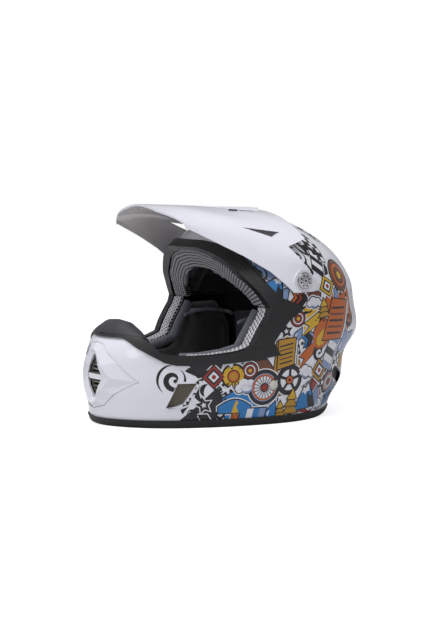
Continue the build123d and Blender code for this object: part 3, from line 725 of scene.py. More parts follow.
def chainring(ink):
    arms = []
    for n in range(5):
        t = math.radians(90 + 72 * n)
        end = (0.74 * math.cos(t), 0.74 * math.sin(t))
        arms.append(("line" if n % 2 else ink, beam((0, 0), end, 0.2), 0))
    return [
        [(ink, cog(1.0, 0.13, 22), 1)], [("white", disc(0.74), 0)], arms, [("orange", disc(0.26), 1)],
        [("line", disc(0.1), 0)],
    ]


def cloud():
    puffs = (
        ((-0.62, -0.1), 0.34), ((-0.2, 0.16), 0.44), ((0.34, 0.08), 0.38), ((0.7, -0.14), 0.28),
        ((0.05, -0.18), 0.4),
    )
    shadow = inked(stroke(curl(0.5, 200, 330, 0), 0.16), "haze")
    return [[("white", disc(radius, middle), 1) for middle, radius in puffs], shadow]


def chevrons(inks):
    made = []
    for n, ink in enumerate(inks):
        x = -0.7 + 0.62 * n
        points = [(x, -0.8), (x + 0.34, -0.8), (x + 0.84, 0), (x + 0.34, 0.8), (x, 0.8), (x + 0.5, 0)]
        made.append((ink, points, 1))
    return [made]


def bands(inks):
    step = 2.0 / len(inks)
    made = []
    for n, ink in enumerate(inks):
        x = -1.0 + step * n
        made.append((ink, [(x, -0.5), (x + step, -0.5), (x + step + 0.25, 0.5), (x + 0.25, 0.5)], 0))
    frame_line = ("line", [(-1.0, -0.5), (1.0, -0.5), (1.25, 0.5), (-0.75, 0.5)], 1)
    return [[frame_line], made]


def checker():
    columns, rows = 6, 3
    half = rows / columns
    made = []
    for i in range(columns):
        for j in range(rows):
            if (i + j) % 2:
                x, y, step = -1 + 2 * i / columns, -half + 2 * j / columns, 2 / columns
                made.append(("line", [(x, y), (x + step, y), (x + step, y + step), (x, y + step)], 0))
    return [[("white", [(-1, -half), (1, -half), (1, half), (-1, half)], 1)], made]


def diamond(ink):
    return stacked([
        (ink, star(1.0, 0.7071, 4), 1), ("coal", star(0.72, 0.509, 4), 0), ("white", star(0.5, 0.3535, 4), 0),
        ("red", disc(0.2), 0),
    ])


def flame():
    outer = [
        (0.0, -1.0), (0.42, -0.86), (0.66, -0.5), (0.62, -0.05), (0.42, 0.2), (0.42, 0.5), (0.2, 0.3),
        (0.16, 0.66), (-0.12, 1.0), (-0.12, 0.5), (-0.4, 0.2), (-0.46, 0.5), (-0.66, 0.0), (-0.6, -0.55),
        (-0.36, -0.88),
    ]
    inner = [
        (0.0, -0.84), (0.3, -0.66), (0.36, -0.3), (0.14, -0.02), (0.06, 0.26), (-0.16, -0.06), (-0.34, -0.36),
        (-0.24, -0.7),
    ]
    return [[("orange", outer, 1)], [("yellow", inner, 0)]]


def target(inks=("brown", "orange", "brown", "yellow")):
    return stacked([(ink, disc(1.0 - 0.25 * n), 1 if n == 0 else 0.6) for n, ink in enumerate(inks)])


def swirl():
    """Ink strokes that swell and curl."""
    coil = inked(stroke(curl(0.24, -40, 400, 0.74), 0.42))
    tail = inked(stroke(curl(1.18, 70, 210, 0.1), 0.2))
    return [coil + [("line", disc(0.16, (0.1, -0.12), 12), 0)] + tail]


def ribbon(ink, waves):
    """A wavy strip with pointed ends."""
    steps = 36
    top, low = [], []
    for n in range(steps + 1):
        t = n / steps
        x, y = 2 * t - 1, 0.22 * math.sin(2 * math.pi * waves * t)
        thick = 0.14 * math.sin(math.pi * t)
        top.append((x, y + thick))
        low.append((x, y - thick))
    return [[(ink, low + top[-2:0:-1], 0 if ink == "line" else 1)]]


def page(ink):
    """A leaning card with stripes on it."""
    card = [(-0.8, -1.0), (0.55, -0.86), (0.8, 0.95), (-0.5, 1.0)]
    edge = [(0.55, -0.86), (0.72, -0.9), (0.97, 0.84), (0.8, 0.95)]
    lines = []
    for n in range(5):
        line = beam((-0.6 + 0.03 * n, -0.66 + 0.3 * n), (0.42 + 0.04 * n, -0.6 + 0.3 * n), 0.1)
        lines.append(("brown" if n % 2 else "coal", line, 0))
    return [[("white", edge, 1)], [(ink, card, 1)], lines]


def drop(ink):
    points = arc(0.62, -215, 35, 20, (0, -0.3)) + [(0.0, 1.0)]
    return [[(ink, points, 1)], inked(stroke(curl(0.36, 130, 240, 0, 10, (0, -0.3)), 0.2), "white")]


def tyre_track():
    """A strip of tread blocks."""
    made = []
    for n in range(9):
        x = -0.95 + 0.22 * n
        for low, high in ((0.06, 0.3), (-0.06, -0.3)):
            made.append(("line", [(x, low), (x + 0.12, low), (x + 0.17, high), (x + 0.05, high)], 0))
    return [made]


def hill():
    steps = 14
    ridge = [(-1 + 2 * n / steps, -0.1 + 0.4 * math.sin(math.pi * n / steps)) for n in range(steps + 1)]
    back = [(-1.0, -0.45)] + ridge + [(1.0, -0.45)]
    road = [
        (-0.2, -0.45), (0.25, -0.45), (0.1, -0.1), (0.22, 0.1), (0.14, 0.26), (0.08, 0.26), (0.1, 0.08),
        (-0.08, -0.1),
    ]
    return [[("blue", back, 1)], [("yellow", road, 0)]]


def strokes():
    """Broad strokes side by side."""
    return [inked(stroke(curl(1.0, -75, 75, 0), 0.5)) + inked(stroke(curl(0.5, -80, 60, 0.05), 0.34))]


def badge():
    """A star on a star."""
    return stacked([("coal", star(1.0, 0.42, 5), 1), ("white", star(0.5, 0.22, 5), 0)])


def dots():
    """A few loose dots."""
    spots = ((-0.8, 0.5), (0.0, 0.9), (0.8, 0.3), (-0.4, -0.6), (0.6, -0.7))
    return [[("line", disc(0.3, spot, 10), 0) for spot in spots]]


# Each motif with the place of its middle on the side, as its Y and its height, its size, and its turn in
# degrees. Places and sizes are in millimetres here and in the tables below.
LAYOUT = (
    (swirl(), -115, 57, 15, 20), (swirl(), -97, 16, 7, 160), (ribbon("line", 1.5), -88, 65, 17, -8),
    (ribbon("line", 1.5), -104, 28, 12, 70), (chevrons(("line", "coal", "line")), -86, 10, 6, 0),
    (strokes(), -78, 44, 15, 175), (diamond("red"), -72, 60, 13, 0), (badge(), -84, 27, 8, 12),
    (tyre_track(), -64, 38, 15, -62), (hill(), -47, 26, 21, 0),
    (bands(("blue", "white", "blue", "haze")), -26, 12, 17, 0), (swirl(), -66, 16, 8, 80),
    (sun(), -49, 60, 13, 0), (cloud(), -33, 48, 15, 8),
    (target(("red", "white", "red", "yellow")), -29, 66, 9, 0), (wheel(), -10, 45, 20, 0),
    (flame(), -46, 9, 9, 10), (page("ochre"), 17, 84, 17, 8), (drop("blue"), 3, 16, 12, -20),
    (chainring("coal"), 24, 52, 17, 0), (pine(), 31, 22, 19, 0), (pine(), 15, 15, 12, 4),
    (bolt("orange"), 45, 78, 17, -14), (cloud(), 48, 60, 13, -10), (peaks(), 60, 29, 22, 4),
    (ribbon("red", 1.0), 58, 12, 14, 0), (diamond("ochre"), 70, 60, 14, 10), (tyre_track(), 54, 45, 11, 30),
    (badge(), 80, 44, 8, -8), (bands(("haze", "white", "coal", "white", "haze")), 86, 78, 20, 80),
    (swirl(), 66, 82, 11, -20), (flame(), 66, 106, 20, -12), (bolt("yellow"), 48, 116, 17, -24),
    (page("orange"), 88, 119, 25, -6), (pine(), 66, 132, 14, 6),
    (chevrons(("blue", "coal", "haze")), 44, 98, 9, 20), (drop("haze"), 108, 92, 15, 14),
    (checker(), 104, 62, 15, 70), (wheel(), 92, 44, 13, 0), (sun(), 121, 66, 10, 0),
    (swirl(), 112, 118, 12, 60), (target(), 98, 171, 18, 0),
    (bands(("line", "white", "coal", "white", "line")), 69, 188, 15, 64),
    (ribbon("line", 1.5), 52, 178, 15, 70), (diamond("yellow"), 72, 160, 12, 14), (swirl(), 46, 194, 10, 10),
    (bolt("haze"), 86, 146, 10, 30), (peaks(), 8, 160, 15, -40),
    (chevrons(("orange", "red", "coal")), 28, 149, 10, -10), (swirl(), -10, 176, 9, 40),
    (drop("blue"), 2, 146, 8, 60), (ribbon("blue", 1.0), -20, 187, 13, -54), (cloud(), 52, 142, 11, 0),
    (badge(), 17, 171, 7, 0), (checker(), 80, 205, 16, 74), (swirl(), 64, 212, 12, 100),
    (chainring("brown"), 118, 40, 9, 0), (ribbon("line", 2.0), 106, 26, 16, 10), (cloud(), 84, 18, 11, 0),
    (target(("red", "white", "red", "yellow")), 30, 124, 9, 0), (badge(), 15, 110, 7, 10),
    (drop("haze"), 32, 106, 8, -30), (ribbon("line", 1.0), 42, 131, 9, 30), (dots(), 38, 88, 7, 0),
    (dots(), -58, 45, 7, 30), (dots(), 100, 146, 8, 60), (dots(), 84, 62, 6, 10),
)
# Coloured grounds under the motifs, each as places by Y and height.
GROUNDS = (
    ("ochre", ((4, 98), (20, 106), (33, 94), (38, 62), (30, 38), (10, 34), (2, 66))),
    ("haze", ((88, 98), (124, 102), (132, 72), (120, 46), (98, 54), (84, 72))),
    ("orange", ((72, 152), (110, 158), (118, 122), (106, 98), (72, 96), (60, 122))),
    ("blue", ((-62, 34), (-42, 46), (-16, 34), (10, 30), (6, 5), (-58, 5))),
    ("red", ((62, 58), (86, 66), (84, 30), (66, 10), (52, 24))),
    ("brown", ((-40, 74), (-8, 78), (6, 60), (-12, 44), (-34, 48))),
    ("coal", ((-112, 8), (-92, 24), (-68, 46), (-58, 26), (-74, 6))),
    ("coal", ((-98, 74), (-62, 76), (-72, 52), (-84, 58))),
    ("haze", ((-26, 200), (-6, 174), (14, 154), (24, 164), (6, 186))),
    ("brown", ((26, 152), (62, 162), (60, 146), (40, 138))),
    ("yellow", ((34, 136), (58, 138), (62, 108), (44, 92), (30, 110))),
    ("line", ((60, 206), (72, 208), (82, 176), (66, 172))),
    ("blue", ((100, 44), (124, 40), (118, 20), (96, 14))),
)
# The side vent's outline, as places by Y and height, and the inks printed round it, each with its width and
# its tier.
VENT_EDGE = ((-110.3, 52.8), (-89.3, 53.0), (-101.7, 29.2), (-110.0, 25.8), (-120.8, 24.1))
VENT_INKS = (("white", 3.2, 4.0), ("line", 1.1, 4.6))
# Motifs on the crown behind the peak, by the X and the Y of their middles.
CROWN_LAYOUT = (
    (bands(("haze", "white", "line", "white")), 50, 76, 14, 60), (ribbon("line", 1.5), 52, 103, 16, 80),
    (diamond("ochre"), 30, 116, 11, 20), (checker(), 8, 92, 12, 90), (swirl(), 66, 90, 8, 40),
    (badge(), 42, 126, 8, 0),
)


class Skin:
    """The shell's outer face, met along level rays at the sides and from straight above on the crown."""

    # The level on which places along the side are measured, and the side's and the crown's own limits.
    level = 66 * MM
    least_out = 20 * MM
    least_slope = 0.1
    crown_base = 150 * MM
    # The places round a point whose normals smooth its own, and how near they have to be.
    around = ((1, 0), (-1, 0), (0, 1), (0, -1))
    side_turn = 0.012
    side_rise = 1.6 * MM
    crown_step = 2 * MM
    near = 6 * MM

    def __init__(self, piece):
        self.tree = faces_of(piece)
        self.turns = [math.radians(n) for n in range(-80, 81)]
        spots = [self.meet(turn, self.level)[0] for turn in self.turns]
        self.along = [0.0]
        for one, two in zip(spots, spots[1:]):
            self.along.append(self.along[-1] + (two - one).length)
        self.depths = [spot.y for spot in spots]

    def meet(self, turn, height):
        """Where a level ray from outside meets the shell, and the face's normal there."""
        out = Vector((math.cos(turn), math.sin(turn), 0))
        return self.tree.ray_cast(out * far_off + Vector((0, 0, height)), -out)[:2]

    def fall(self, out, back):
        """Where a ray from straight above meets the shell, and the face's normal there."""
        return self.tree.ray_cast(Vector((out, back, far_off)), downwards)[:2]

    def between(self, table, value, result):
        """The result that goes with a value of a rising table."""
        n = min(max(bisect.bisect(table, value), 1), len(table) - 1)
        share = (value - table[n - 1]) / (table[n] - table[n - 1])
        return result[n - 1] + share * (result[n] - result[n - 1])

    def start(self, depth):
        """How far along the side a place is, from its Y."""
        return self.between(self.depths, depth, self.along)

    def lifted(self, spot, normal, neighbours, lift):
        """A point lifted off the shell along its smooth normal, and that normal."""
        for other, slope in neighbours:
            if other is not None and (other - spot).length < self.near:
                normal = normal + slope
        normal.normalize()
        return spot + normal * lift, normal

    def crown(self, out, back, lift):
        """A point above the crown, with the smooth normal, or nothing beside it."""
        spot, normal = self.fall(out, back)
        if spot is None or spot.z < self.crown_base:
            return None
        step = self.crown_step
        neighbours = [self.fall(out + x * step, back + y * step) for x, y in self.around]
        return self.lifted(spot, normal, neighbours, lift)

    def place(self, along, height, lift):
        """A point above the side, with the smooth normal, or nothing over a hole."""
        turn = self.between(self.along, along, self.turns)
        spot, normal = self.meet(turn, height)
        if spot is None or spot.x < self.least_out or normal.x < self.least_slope:
            return None
        step, rise = self.side_turn, self.side_rise
        neighbours = [self.meet(turn + x * step, height + z * rise) for x, z in self.around]
        return self.lifted(spot, normal, neighbours, lift)


def flat_cells(points, floor):
    """A flat outline, above a floor, as small faces that can follow a curve."""
    flat = bmesh.new()
    corners = [flat.verts.new((x, y, 0)) for x, y in points]
    flat.faces.new(corners)
    bmesh.ops.triangulate(flat, faces=flat.faces[:])
    for axis in (0, 1):
        low = min(p[axis] for p in points)
        high = max(p[axis] for p in points)
        for n in range(math.ceil(low / art_cell), math.floor(high / art_cell) + 1):
            cut = Vector((0, 0, 0))
            cut[axis] = n * art_cell
            facing = Vector((0, 0, 0))
            facing[axis] = 1
            every = flat.verts[:] + flat.edges[:] + flat.faces[:]
            bmesh.ops.bisect_plane(flat, geom=every, plane_co=cut, plane_no=facing, dist=cut_reach)
    every = flat.verts[:] + flat.edges[:] + flat.faces[:]
    bmesh.ops.bisect_plane(
        flat, geom=every, plane_co=(0, floor, 0), plane_no=(0, 1, 0), dist=cut_reach, clear_inner=True
    )
    flat.verts.index_update()
    spots = [v.co.copy() for v in flat.verts]
    faces = []
    for face in flat.faces:
        order = [v.index for v in face.verts]
        faces.append(order if face.normal.z > 0 else order[::-1])
    flat.free()
    return spots, faces


def laid(points, middle, size, turn):
    """A motif's outline in metres round its middle."""
    c, s = math.cos(math.radians(turn)), math.sin(math.radians(turn))
    scale = size * MM
    return [(middle[0] + (x * c - y * s) * scale, middle[1] + (x * s + y * c) * scale) for x, y in points]


def sheets(skin):
    """Each flat sheet of ink: its colour, outline, tier and the way it meets the shell."""

    def side_place(depth, height):
        return skin.start(depth * MM), height * MM

    for ink, places in GROUNDS:
        outline = [side_place(*place) for place in places]
        yield "line", grown(outline, art_line * MM), ground_tiers[0], skin.place
        yield ink, outline, ground_tiers[1], skin.place
    edge = [side_place(*place) for place in VENT_EDGE]
    for ink, width, tier in VENT_INKS:
        yield ink, grown(edge, width * MM), tier, skin.place
    stamps = []
    for groups, depth, height, size, turn in LAYOUT:
        stamps.append((groups, side_place(depth, height), size, turn, skin.place))
    for groups, out, back, size, turn in CROWN_LAYOUT:
        stamps.append((groups, (out * MM, back * MM), size, turn, skin.crown))
    for count, (groups, middle, size, turn, meet) in enumerate(stamps):
        over = layout_step * (count % layout_cycle)
        for ink, points, line in groups[0]:
            if line:
                border = grown(points, (art_line * line + art_border) / size)
                yield "white", laid(border, middle, size, turn), over - border_drop, meet
        for level, group in enumerate(groups):
            tier = 2 * level + over
            for ink, points, line in group:
                if line:
                    yield "line", laid(grown(points, art_line * line / size), middle, size, turn), tier, meet
                yield ink, laid(points, middle, size, turn), tier + (1 if line else 0), meet


def artwork(skin, name):
    """All the motifs as one thin print on both sides of the shell."""
    spots, normals, faces, inks = [], [], [], []
    for ink, outline, tier, meet in sheets(skin):
        cells, made = flat_cells(outline, art_floor if meet == skin.place else -far_off)
        found = [meet(x, y, art_lift + art_tier * tier) for x, y, z in cells]
        for side in (1, -1):
            base = len(spots)
            for spot in found:
                at, normal = spot or (Vector(), Vector((0, 0, 1)))
                spots.append((at.x * side, at.y, at.z))
                normals.append((normal.x * side, normal.y, normal.z))
            for face in made:
                if all(found[n] for n in face):
                    faces.append([base + n for n in (face if side > 0 else face[::-1])])
                    inks.append(INKS[ink])
    mesh = bpy.data.meshes.new(name)
    mesh.from_pydata(spots, [], faces)
    print_ink = mesh.color_attributes.new("ink", "FLOAT_COLOR", "CORNER")
    values = []
    for face, shade_now in zip(mesh.polygons, inks):
        values.extend((*shade_now, 1) * face.loop_total)
    print_ink.data.foreach_set("color", values)
    mesh.shade_smooth()
    mesh.normals_split_custom_set_from_vertices(normals)
    piece = bpy.data.objects.new(name, mesh)
    bpy.context.scene.collection.objects.link(piece)
    only(piece)
    bpy.ops.object.mode_set(mode="EDIT")
    bpy.ops.mesh.select_all(action="SELECT")
    bpy.ops.mesh.delete_loose()
    bpy.ops.object.mode_set(mode="OBJECT")
    return piece


def tube(name, path, radius, material):
    """A smooth tube along a path, as a mesh."""
    curve = bpy.data.curves.new(name, "CURVE")
    curve.dimensions = "3D"
    curve.bevel_depth = radius
    curve.bevel_resolution = 3
    curve.use_fill_caps = True
    line = curve.splines.new("BEZIER")
    line.bezier_points.add(len(path) - 1)
    for point, spot in zip(line.bezier_points, path):
        point.co = spot
        point.handle_left_type = point.handle_right_type = "AUTO"
    made = bpy.data.objects.new(name, curve)
    bpy.context.scene.collection.objects.link(made)
    only(made)
    bpy.ops.object.convert(target="MESH")
    made = bpy.context.object
    bpy.ops.object.shade_smooth()
    made.data.materials.clear()
    made.data.materials.append(material)
    return made


def joined(name, pieces, material):
    """Several pieces as one, at the origin, in one material."""
    only(*pieces)
    bpy.ops.object.transform_apply(location=True, rotation=True, scale=True)
    bpy.ops.object.join()
    whole = bpy.context.object
    whole.name = name
    whole.data.name = name
    whole.data.materials.clear()
    whole.data.materials.append(material)
    return whole


bar_angle = math.radians(40)


def round_bar(radius, start, end, spot, sides, bevel):
    """A bar along X between two places, its rims softened by a bevel."""
    bpy.ops.mesh.primitive_cylinder_add(
        vertices=sides, radius=radius, depth=abs(end - start), location=((start + end) / 2, *spot),
        rotation=(0, math.pi / 2, 0),
    )
    made = bpy.context.object
    if bevel:
        applied(made, "BEVEL", "Rims", width=bevel, segments=2)
    bpy.ops.object.shade_smooth_by_angle(angle=bar_angle)
    return made


def even(piece, grid, rounds=4):
    """Gives a piece an even mesh and softens its edges."""
    only(piece)
    applied(piece, "REMESH", "Even mesh", mode="VOXEL", voxel_size=grid)
    applied(piece, "SMOOTH", "Soften", iterations=rounds, factor=0.5)
    bpy.ops.object.shade_smooth()
    return piece


def weave_map(piece, spots):
    """A UV map in metres, from a place along and across for each vertex."""
    layer = piece.data.uv_layers.new(name="weave")
    for loop in piece.data.loops:
        layer.data[loop.index].uv = spots[loop.vertex_index]


# The steps on either side that even out a rim.
rim_near = 2


def rim(values, reaches, step):
    """The farthest reach for each step of a value, evened out."""
    table = {}
    for value, reach in zip(values, reaches):
        n = round(value / step)
        table[n] = max(table.get(n, 0), reach)
    smooth = {}
    for n in table:
        near = [table[k] for k in range(n - rim_near, n + rim_near + 1) if k in table]
        smooth[n] = sum(near) / len(near)
    return smooth


# The middle and the radius of the brow's arch from the front, and the steps in which its edge is read.
brow_middle = 120 * MM
brow_radius = 100 * MM
brow_step = math.radians(2)
strip_step = 4 * MM


def arch_map(piece):
    """Rows that follow the arch of the brow, seen from the front, and its depth behind its front edge."""
    turns, reaches, aheads = [], [], []
    for vertex in piece.data.vertices:
        x, z = vertex.co.x, vertex.co.z - brow_middle
        turns.append(math.atan2(z, x))
        reaches.append(math.hypot(x, z))
        aheads.append(far_off - vertex.co.y)
    edge = rim(turns, reaches, brow_step)
    front = rim(turns, aheads, brow_step)
    spots = []
    for turn, reach, ahead in zip(turns, reaches, aheads):
        n = round(turn / brow_step)
        spots.append((turn * brow_radius, math.hypot(edge[n] - reach, front[n] - ahead)))
    weave_map(piece, spots)


def strip_map(piece):
    """Rows that follow the eyeport's edge beside the cheek, seen from the side."""
    starts = [0.0]
    for one, two in zip(PORT_LINE, PORT_LINE[1:]):
        starts.append(starts[-1] + math.dist(one, two))
    along, widths, gaps = [], [], []
    for vertex in piece.data.vertices:
        here = Vector((vertex.co.y, vertex.co.z))
        best = None
        for start, one, two in zip(starts, PORT_LINE, PORT_LINE[1:]):
            way = Vector(two) - Vector(one)
            share = min(max((here - Vector(one)).dot(way) / way.length_squared, 0), 1)
            gap = (Vector(one) + way * share - here).length
            if best is None or gap < best[0]:
                best = (gap, start + share * way.length)
        along.append(best[1])
        widths.append(abs(vertex.co.x))
        gaps.append(best[0])
    edge = rim(along, widths, strip_step)
    spots = []
    for u, width, gap in zip(along, widths, gaps):
        spots.append((u, edge[round(u / strip_step)] - width + gap))
    weave_map(piece, spots)


# Operators: one for each piece or group of like pieces


# The sharpest edge that is shaded smooth on the chin vent cover, so that its facets stay crisp.
facet_angle = math.radians(13)


class HELMET_OT_shell(bpy.types.Operator):
    """The painted shell and its chin vent cover"""

    bl_idname = "helmet.shell"
    bl_label = "Shell"

    def execute(self, context):
        paint = gloss_paint("gloss_paint", colours().paint, inner=colours().composite)
        dressed("outer_shell", paint, "shell_gloss")
        dressed("chin_vent_cover", paint, "shell_gloss", facet_angle)
        return {"FINISHED"}


class HELMET_OT_artwork(bpy.types.Operator):
    """The motifs printed on both sides of the shell"""

    bl_idname = "helmet.artwork"
    bl_label = "Artwork"

    def execute(self, context):
        piece = artwork(Skin(NODES["outer_shell"]), "shell_artwork")
        piece.data.materials.append(print_gloss("print_gloss"))
        settle(piece, "helmet", "shell_gloss")
        return {"FINISHED"}


# The peak's ribs in millimetres: their places out from the middle at rib_end, the share of those at
# rib_start, the Y of the points that they pass, their sink and their radius.
RIB_PLACES = (4.0, 7.5, 11.0)
RIB_DEPTHS = (-62, -50, -36, -20, -6)
rib_start, rib_end = -62, -2
rib_share = 0.3
rib_sink = 0.15
rib_radius = 0.55
# The thin inlets on its top, drawn as dark tubes of painted shade, each from one Y to another, with its place
# out and its radius, and their sink.
INLETS = ((-9, 2, 33, 1.7), (6, 27, 32, 0.5))
inlet_steps = 4
inlet_sink = 0.1


class HELMET_OT_peak(bpy.types.Operator):
    """The peak over the brow, with its ribs and inlets"""

    bl_idname = "helmet.peak"
    bl_label = "Peak"

    def execute(self, context):
        # The peak's lower faces take painted shade.
        gloss = gloss_paint("gloss_plastic", colours().peak, colours().peak_painted_shade)
        tree = faces_of(dressed("visor", gloss, "visor_gloss"))

        def sunk(x, y, sink):
            spot = tree.ray_cast(Vector((x * MM, y * MM, far_off)), downwards)[0]
            return spot - Vector((0, 0, sink * MM))

        ribs = []
        for place in RIB_PLACES:
            for side in (1, -1):
                path = []
                for depth in RIB_DEPTHS:
                    share = rib_share + (1 - rib_share) * (depth - rib_start) / (rib_end - rib_start)
                    path.append(sunk(side * place * share, depth, rib_sink))
                ribs.append(tube("rib", path, rib_radius * MM, gloss))
        settle(joined("peak_ribs", ribs, gloss), "visor", "visor_gloss")
        # Painted shade: the inlets are dark tubes laid in the peak's top.
        dark = moulded("inlet_shade", colours().rubber, 0.5, 0.8 * MM, 0.04 * MM)
        slots = []
        for side in (1, -1):
            for start, end, place, radius in INLETS:
                depths = [start + (end - start) * n / inlet_steps for n in range(inlet_steps + 1)]
                path = [sunk(side * place, depth, inlet_sink) for depth in depths]
                slots.append(tube("slot", path, radius * MM, dark))
        settle(joined("peak_inlets", slots, dark), "visor", "visor_gloss")
        return {"FINISHED"}


# The lines pressed into the trim's flank, each between two points of the side view.
trim_creases = (
    ((-0.0021, 0.1390), (0.0365, 0.1377)),
    ((-0.0257, 0.0936), (-0.0090, 0.0924)),
    ((-0.0039, 0.1399), (-0.0257, 0.0936)),
    ((-0.0305, 0.2018), (-0.0213, 0.1824)),
    ((-0.0342, 0.2026), (-0.0212, 0.1974)),
    ((-0.0212, 0.1974), (-0.0163, 0.1835)),
    ((-0.0163, 0.1835), (-0.0060, 0.1660)),
)


class HELMET_OT_trim(bpy.types.Operator):
    """The eyeport's moulded edge, the nose guard and the rubber on the lower edge"""

    bl_idname = "helmet.trim"
    bl_label = "Trim"

    def execute(self, context):
        satin = creased("satin_plastic", colours().trim, 0.42, trim_creases)
        dressed("eyeport_trim", satin, "trim_black")
        soft = moulded("soft_rubber", colours().guard, 0.6, 0.9 * MM, 0.04 * MM)
        dressed("nose_guard", soft, "guard_rubber")
        rubber = moulded("edge_rubber", colours().rubber, 0.5, 0.8 * MM, 0.04 * MM)
        dressed("edge_rubber", rubber, "edge_rubber")
        return {"FINISHED"}


class HELMET_OT_vents(bpy.types.Operator):
    """The plates and grilles in the vents"""

    bl_idname = "helmet.vents"
    bl_label = "Vents"

    def execute(self, context):
        wire = wire_cloth("wire_cloth", colours().bronze, 4.2 * MM)
        dressed("side_vents", wire, "vent_mesh")
        dark = moulded("vent_plastic", colours().rubber, 0.5, 0.8 * MM, 0.04 * MM)
        for node in ("crown_vents", "rear_vents"):
            dressed(node, dark, "grille_black")
        slats = moulded("grille_plastic", colours().grille, 0.45, 0.8 * MM, 0.03 * MM)
        dressed("chin_grille", slats, "grille_black")
        return {"FINISHED"}


class HELMET_OT_foam(bpy.types.Operator):
    """The bead foam and the plates behind the pads"""

    bl_idname = "helmet.foam"
    bl_label = "Foam"

    def execute(self, context):
        foam = bead_foam("bead_foam", colours().foam)
        for node in ("crown_foam", "chin_foam", "cheek_foam_left", "cheek_foam_right"):
            dressed(node, foam, "foam")
        plate = moulded("snap_plastic", colours().rubber, 0.4, MM, 0.02 * MM)
        for side in ("left", "right"):
            dressed("cheek_plate_" + side, plate, "snap_plate")
        return {"FINISHED"}


# The binding across a cheek pad's inner face, and its upright seam, in millimetres of the side view.
BINDING_LINE = (
    (-15.0, 116.5), (-8.0, 118.6), (2.0, 120.8), (18.0, 122.0), (34.0, 121.0), (47.0, 118.4), (57.0, 114.0),
)
SEAM_LINE = ((-38.0, 112.0), (-37.4, 92.0), (-38.0, 70.0), (-39.4, 48.0))
binding_radius = 2.1
binding_lift = 1.6
stitch_radius = 0.5
stitch_lift = 0.1
stitch_shape = (0.7, 0.8, 2.6)
# The two rows of stitches stand this far from the seam.
stitch_rows = (-1.6, 1.6)
# Rays at a pad's inner face start at the first place, and one that misses it takes the second.
pad_inside, pad_face = 20, 64


def parted(line, count):
    """The points of a line with each stretch in so many parts, without its last point."""
    for (y0, z0), (y1, z1) in zip(line, line[1:]):
        for n in range(count):
            yield y0 + (y1 - y0) * n / count, z0 + (z1 - z0) * n / count


def stuffed(node, material, slot):
    """A CAD piece swollen as a pad, in its finish."""
    pad = swell(merged_copy(node, "padded_" + node))
    pad.data.materials.append(material)
    return settle(pad, "helmet", slot, node)


def sewn(side, pad, cloth):
    """The cloth binding and the stitched seam on a cheek pad's inner face."""
    sign = 1 if side == "left" else -1
    tree = faces_of(pad)

    def on_face(depth, height, lift):
        start = Vector((sign * pad_inside * MM, depth * MM, height * MM))
        spot = tree.ray_cast(start, Vector((sign, 0, 0)))[0]
        return (spot.x if spot else sign * pad_face * MM) - sign * lift * MM, depth * MM, height * MM

    path = [on_face(depth, height, binding_lift) for depth, height in parted(BINDING_LINE, 4)]
    binding = tube("cheek_binding_" + side, path, binding_radius * MM, cloth)
    settle(binding, "helmet", "suede")
    thread = moulded("seam_thread", colours().mesh_ground, 0.7, 0.5 * MM, 0.04 * MM)
    stitches = []
    for depth, height in parted(SEAM_LINE, 6):
        for row in stitch_rows:
            bpy.ops.mesh.primitive_uv_sphere_add(
                segments=6, ring_count=4, radius=stitch_radius * MM, scale=stitch_shape,
                location=on_face(depth + row, height, stitch_lift),
            )
            stitches.append(bpy.context.object)
    settle(joined("cheek_stitches_" + side, stitches, thread), "helmet", "pad_cloth")


class HELMET_OT_pads(bpy.types.Operator):
    """The stuffed pads: cheeks, crown and neck"""

    bl_idname = "helmet.pads"
    bl_label = "Pads"

    def execute(self, context):
        cloth = knit("pad_knit", colours().cloth, 1.6 * MM)
        suede = brushed("neck_suede", colours().suede)
        for side in ("left", "right"):
            pad = stuffed("cheek_pad_" + side, cloth, "pad_cloth")
            sewn(side, pad, suede)
        for node, material, slot in (("crown_pad", cloth, "pad_cloth"), ("neck_roll", suede, "suede")):
            pad = stuffed(node, material, slot)
        return {"FINISHED"}


piping_angle = math.radians(60)


class HELMET_OT_brow(bpy.types.Operator):
    """The mesh-covered band round the brow, and the strips at the temples"""

    bl_idname = "helmet.brow"
    bl_label = "Brow"

    def execute(self, context):
        c = colours()
        arch = net("brow_mesh", c.mesh_thread, c.mesh_ground, (4.2 * MM, 4.3 * MM), (0.64, 0.6), 36 * MM)
        band = even(merged_copy("brow_liner", "padded_brow_liner"), 2.6 * MM)
        arch_map(band)
        band.data.materials.append(arch)
        settle(band, "helmet", "liner_mesh", "brow_liner")
        threads = shade(c.mesh_thread, 1.3)
        lattice = net(
            "strip_mesh", c.mesh_ground, threads, (4.8 * MM, 4.6 * MM), (0.56, 0.58), 24 * MM,
            stagger=0.5, slant=0.5,
        )
        for side in ("left", "right"):
            node = "cheek_mesh_" + side
            strip = even(merged_copy(node, "padded_" + node), 2.0 * MM, 2)
            strip_map(strip)
            strip.data.materials.append(lattice)
            settle(strip, "helmet", "liner_mesh", node)
        suede = brushed("piping_suede", colours().suede)
        for side in ("left", "right"):
            node = "cheek_piping_" + side
            roll = merged_copy(node, "padded_" + node)
            bpy.ops.object.shade_smooth_by_angle(angle=piping_angle)
            roll.data.materials.append(suede)
            settle(roll, "helmet", "suede", node)
        return {"FINISHED"}


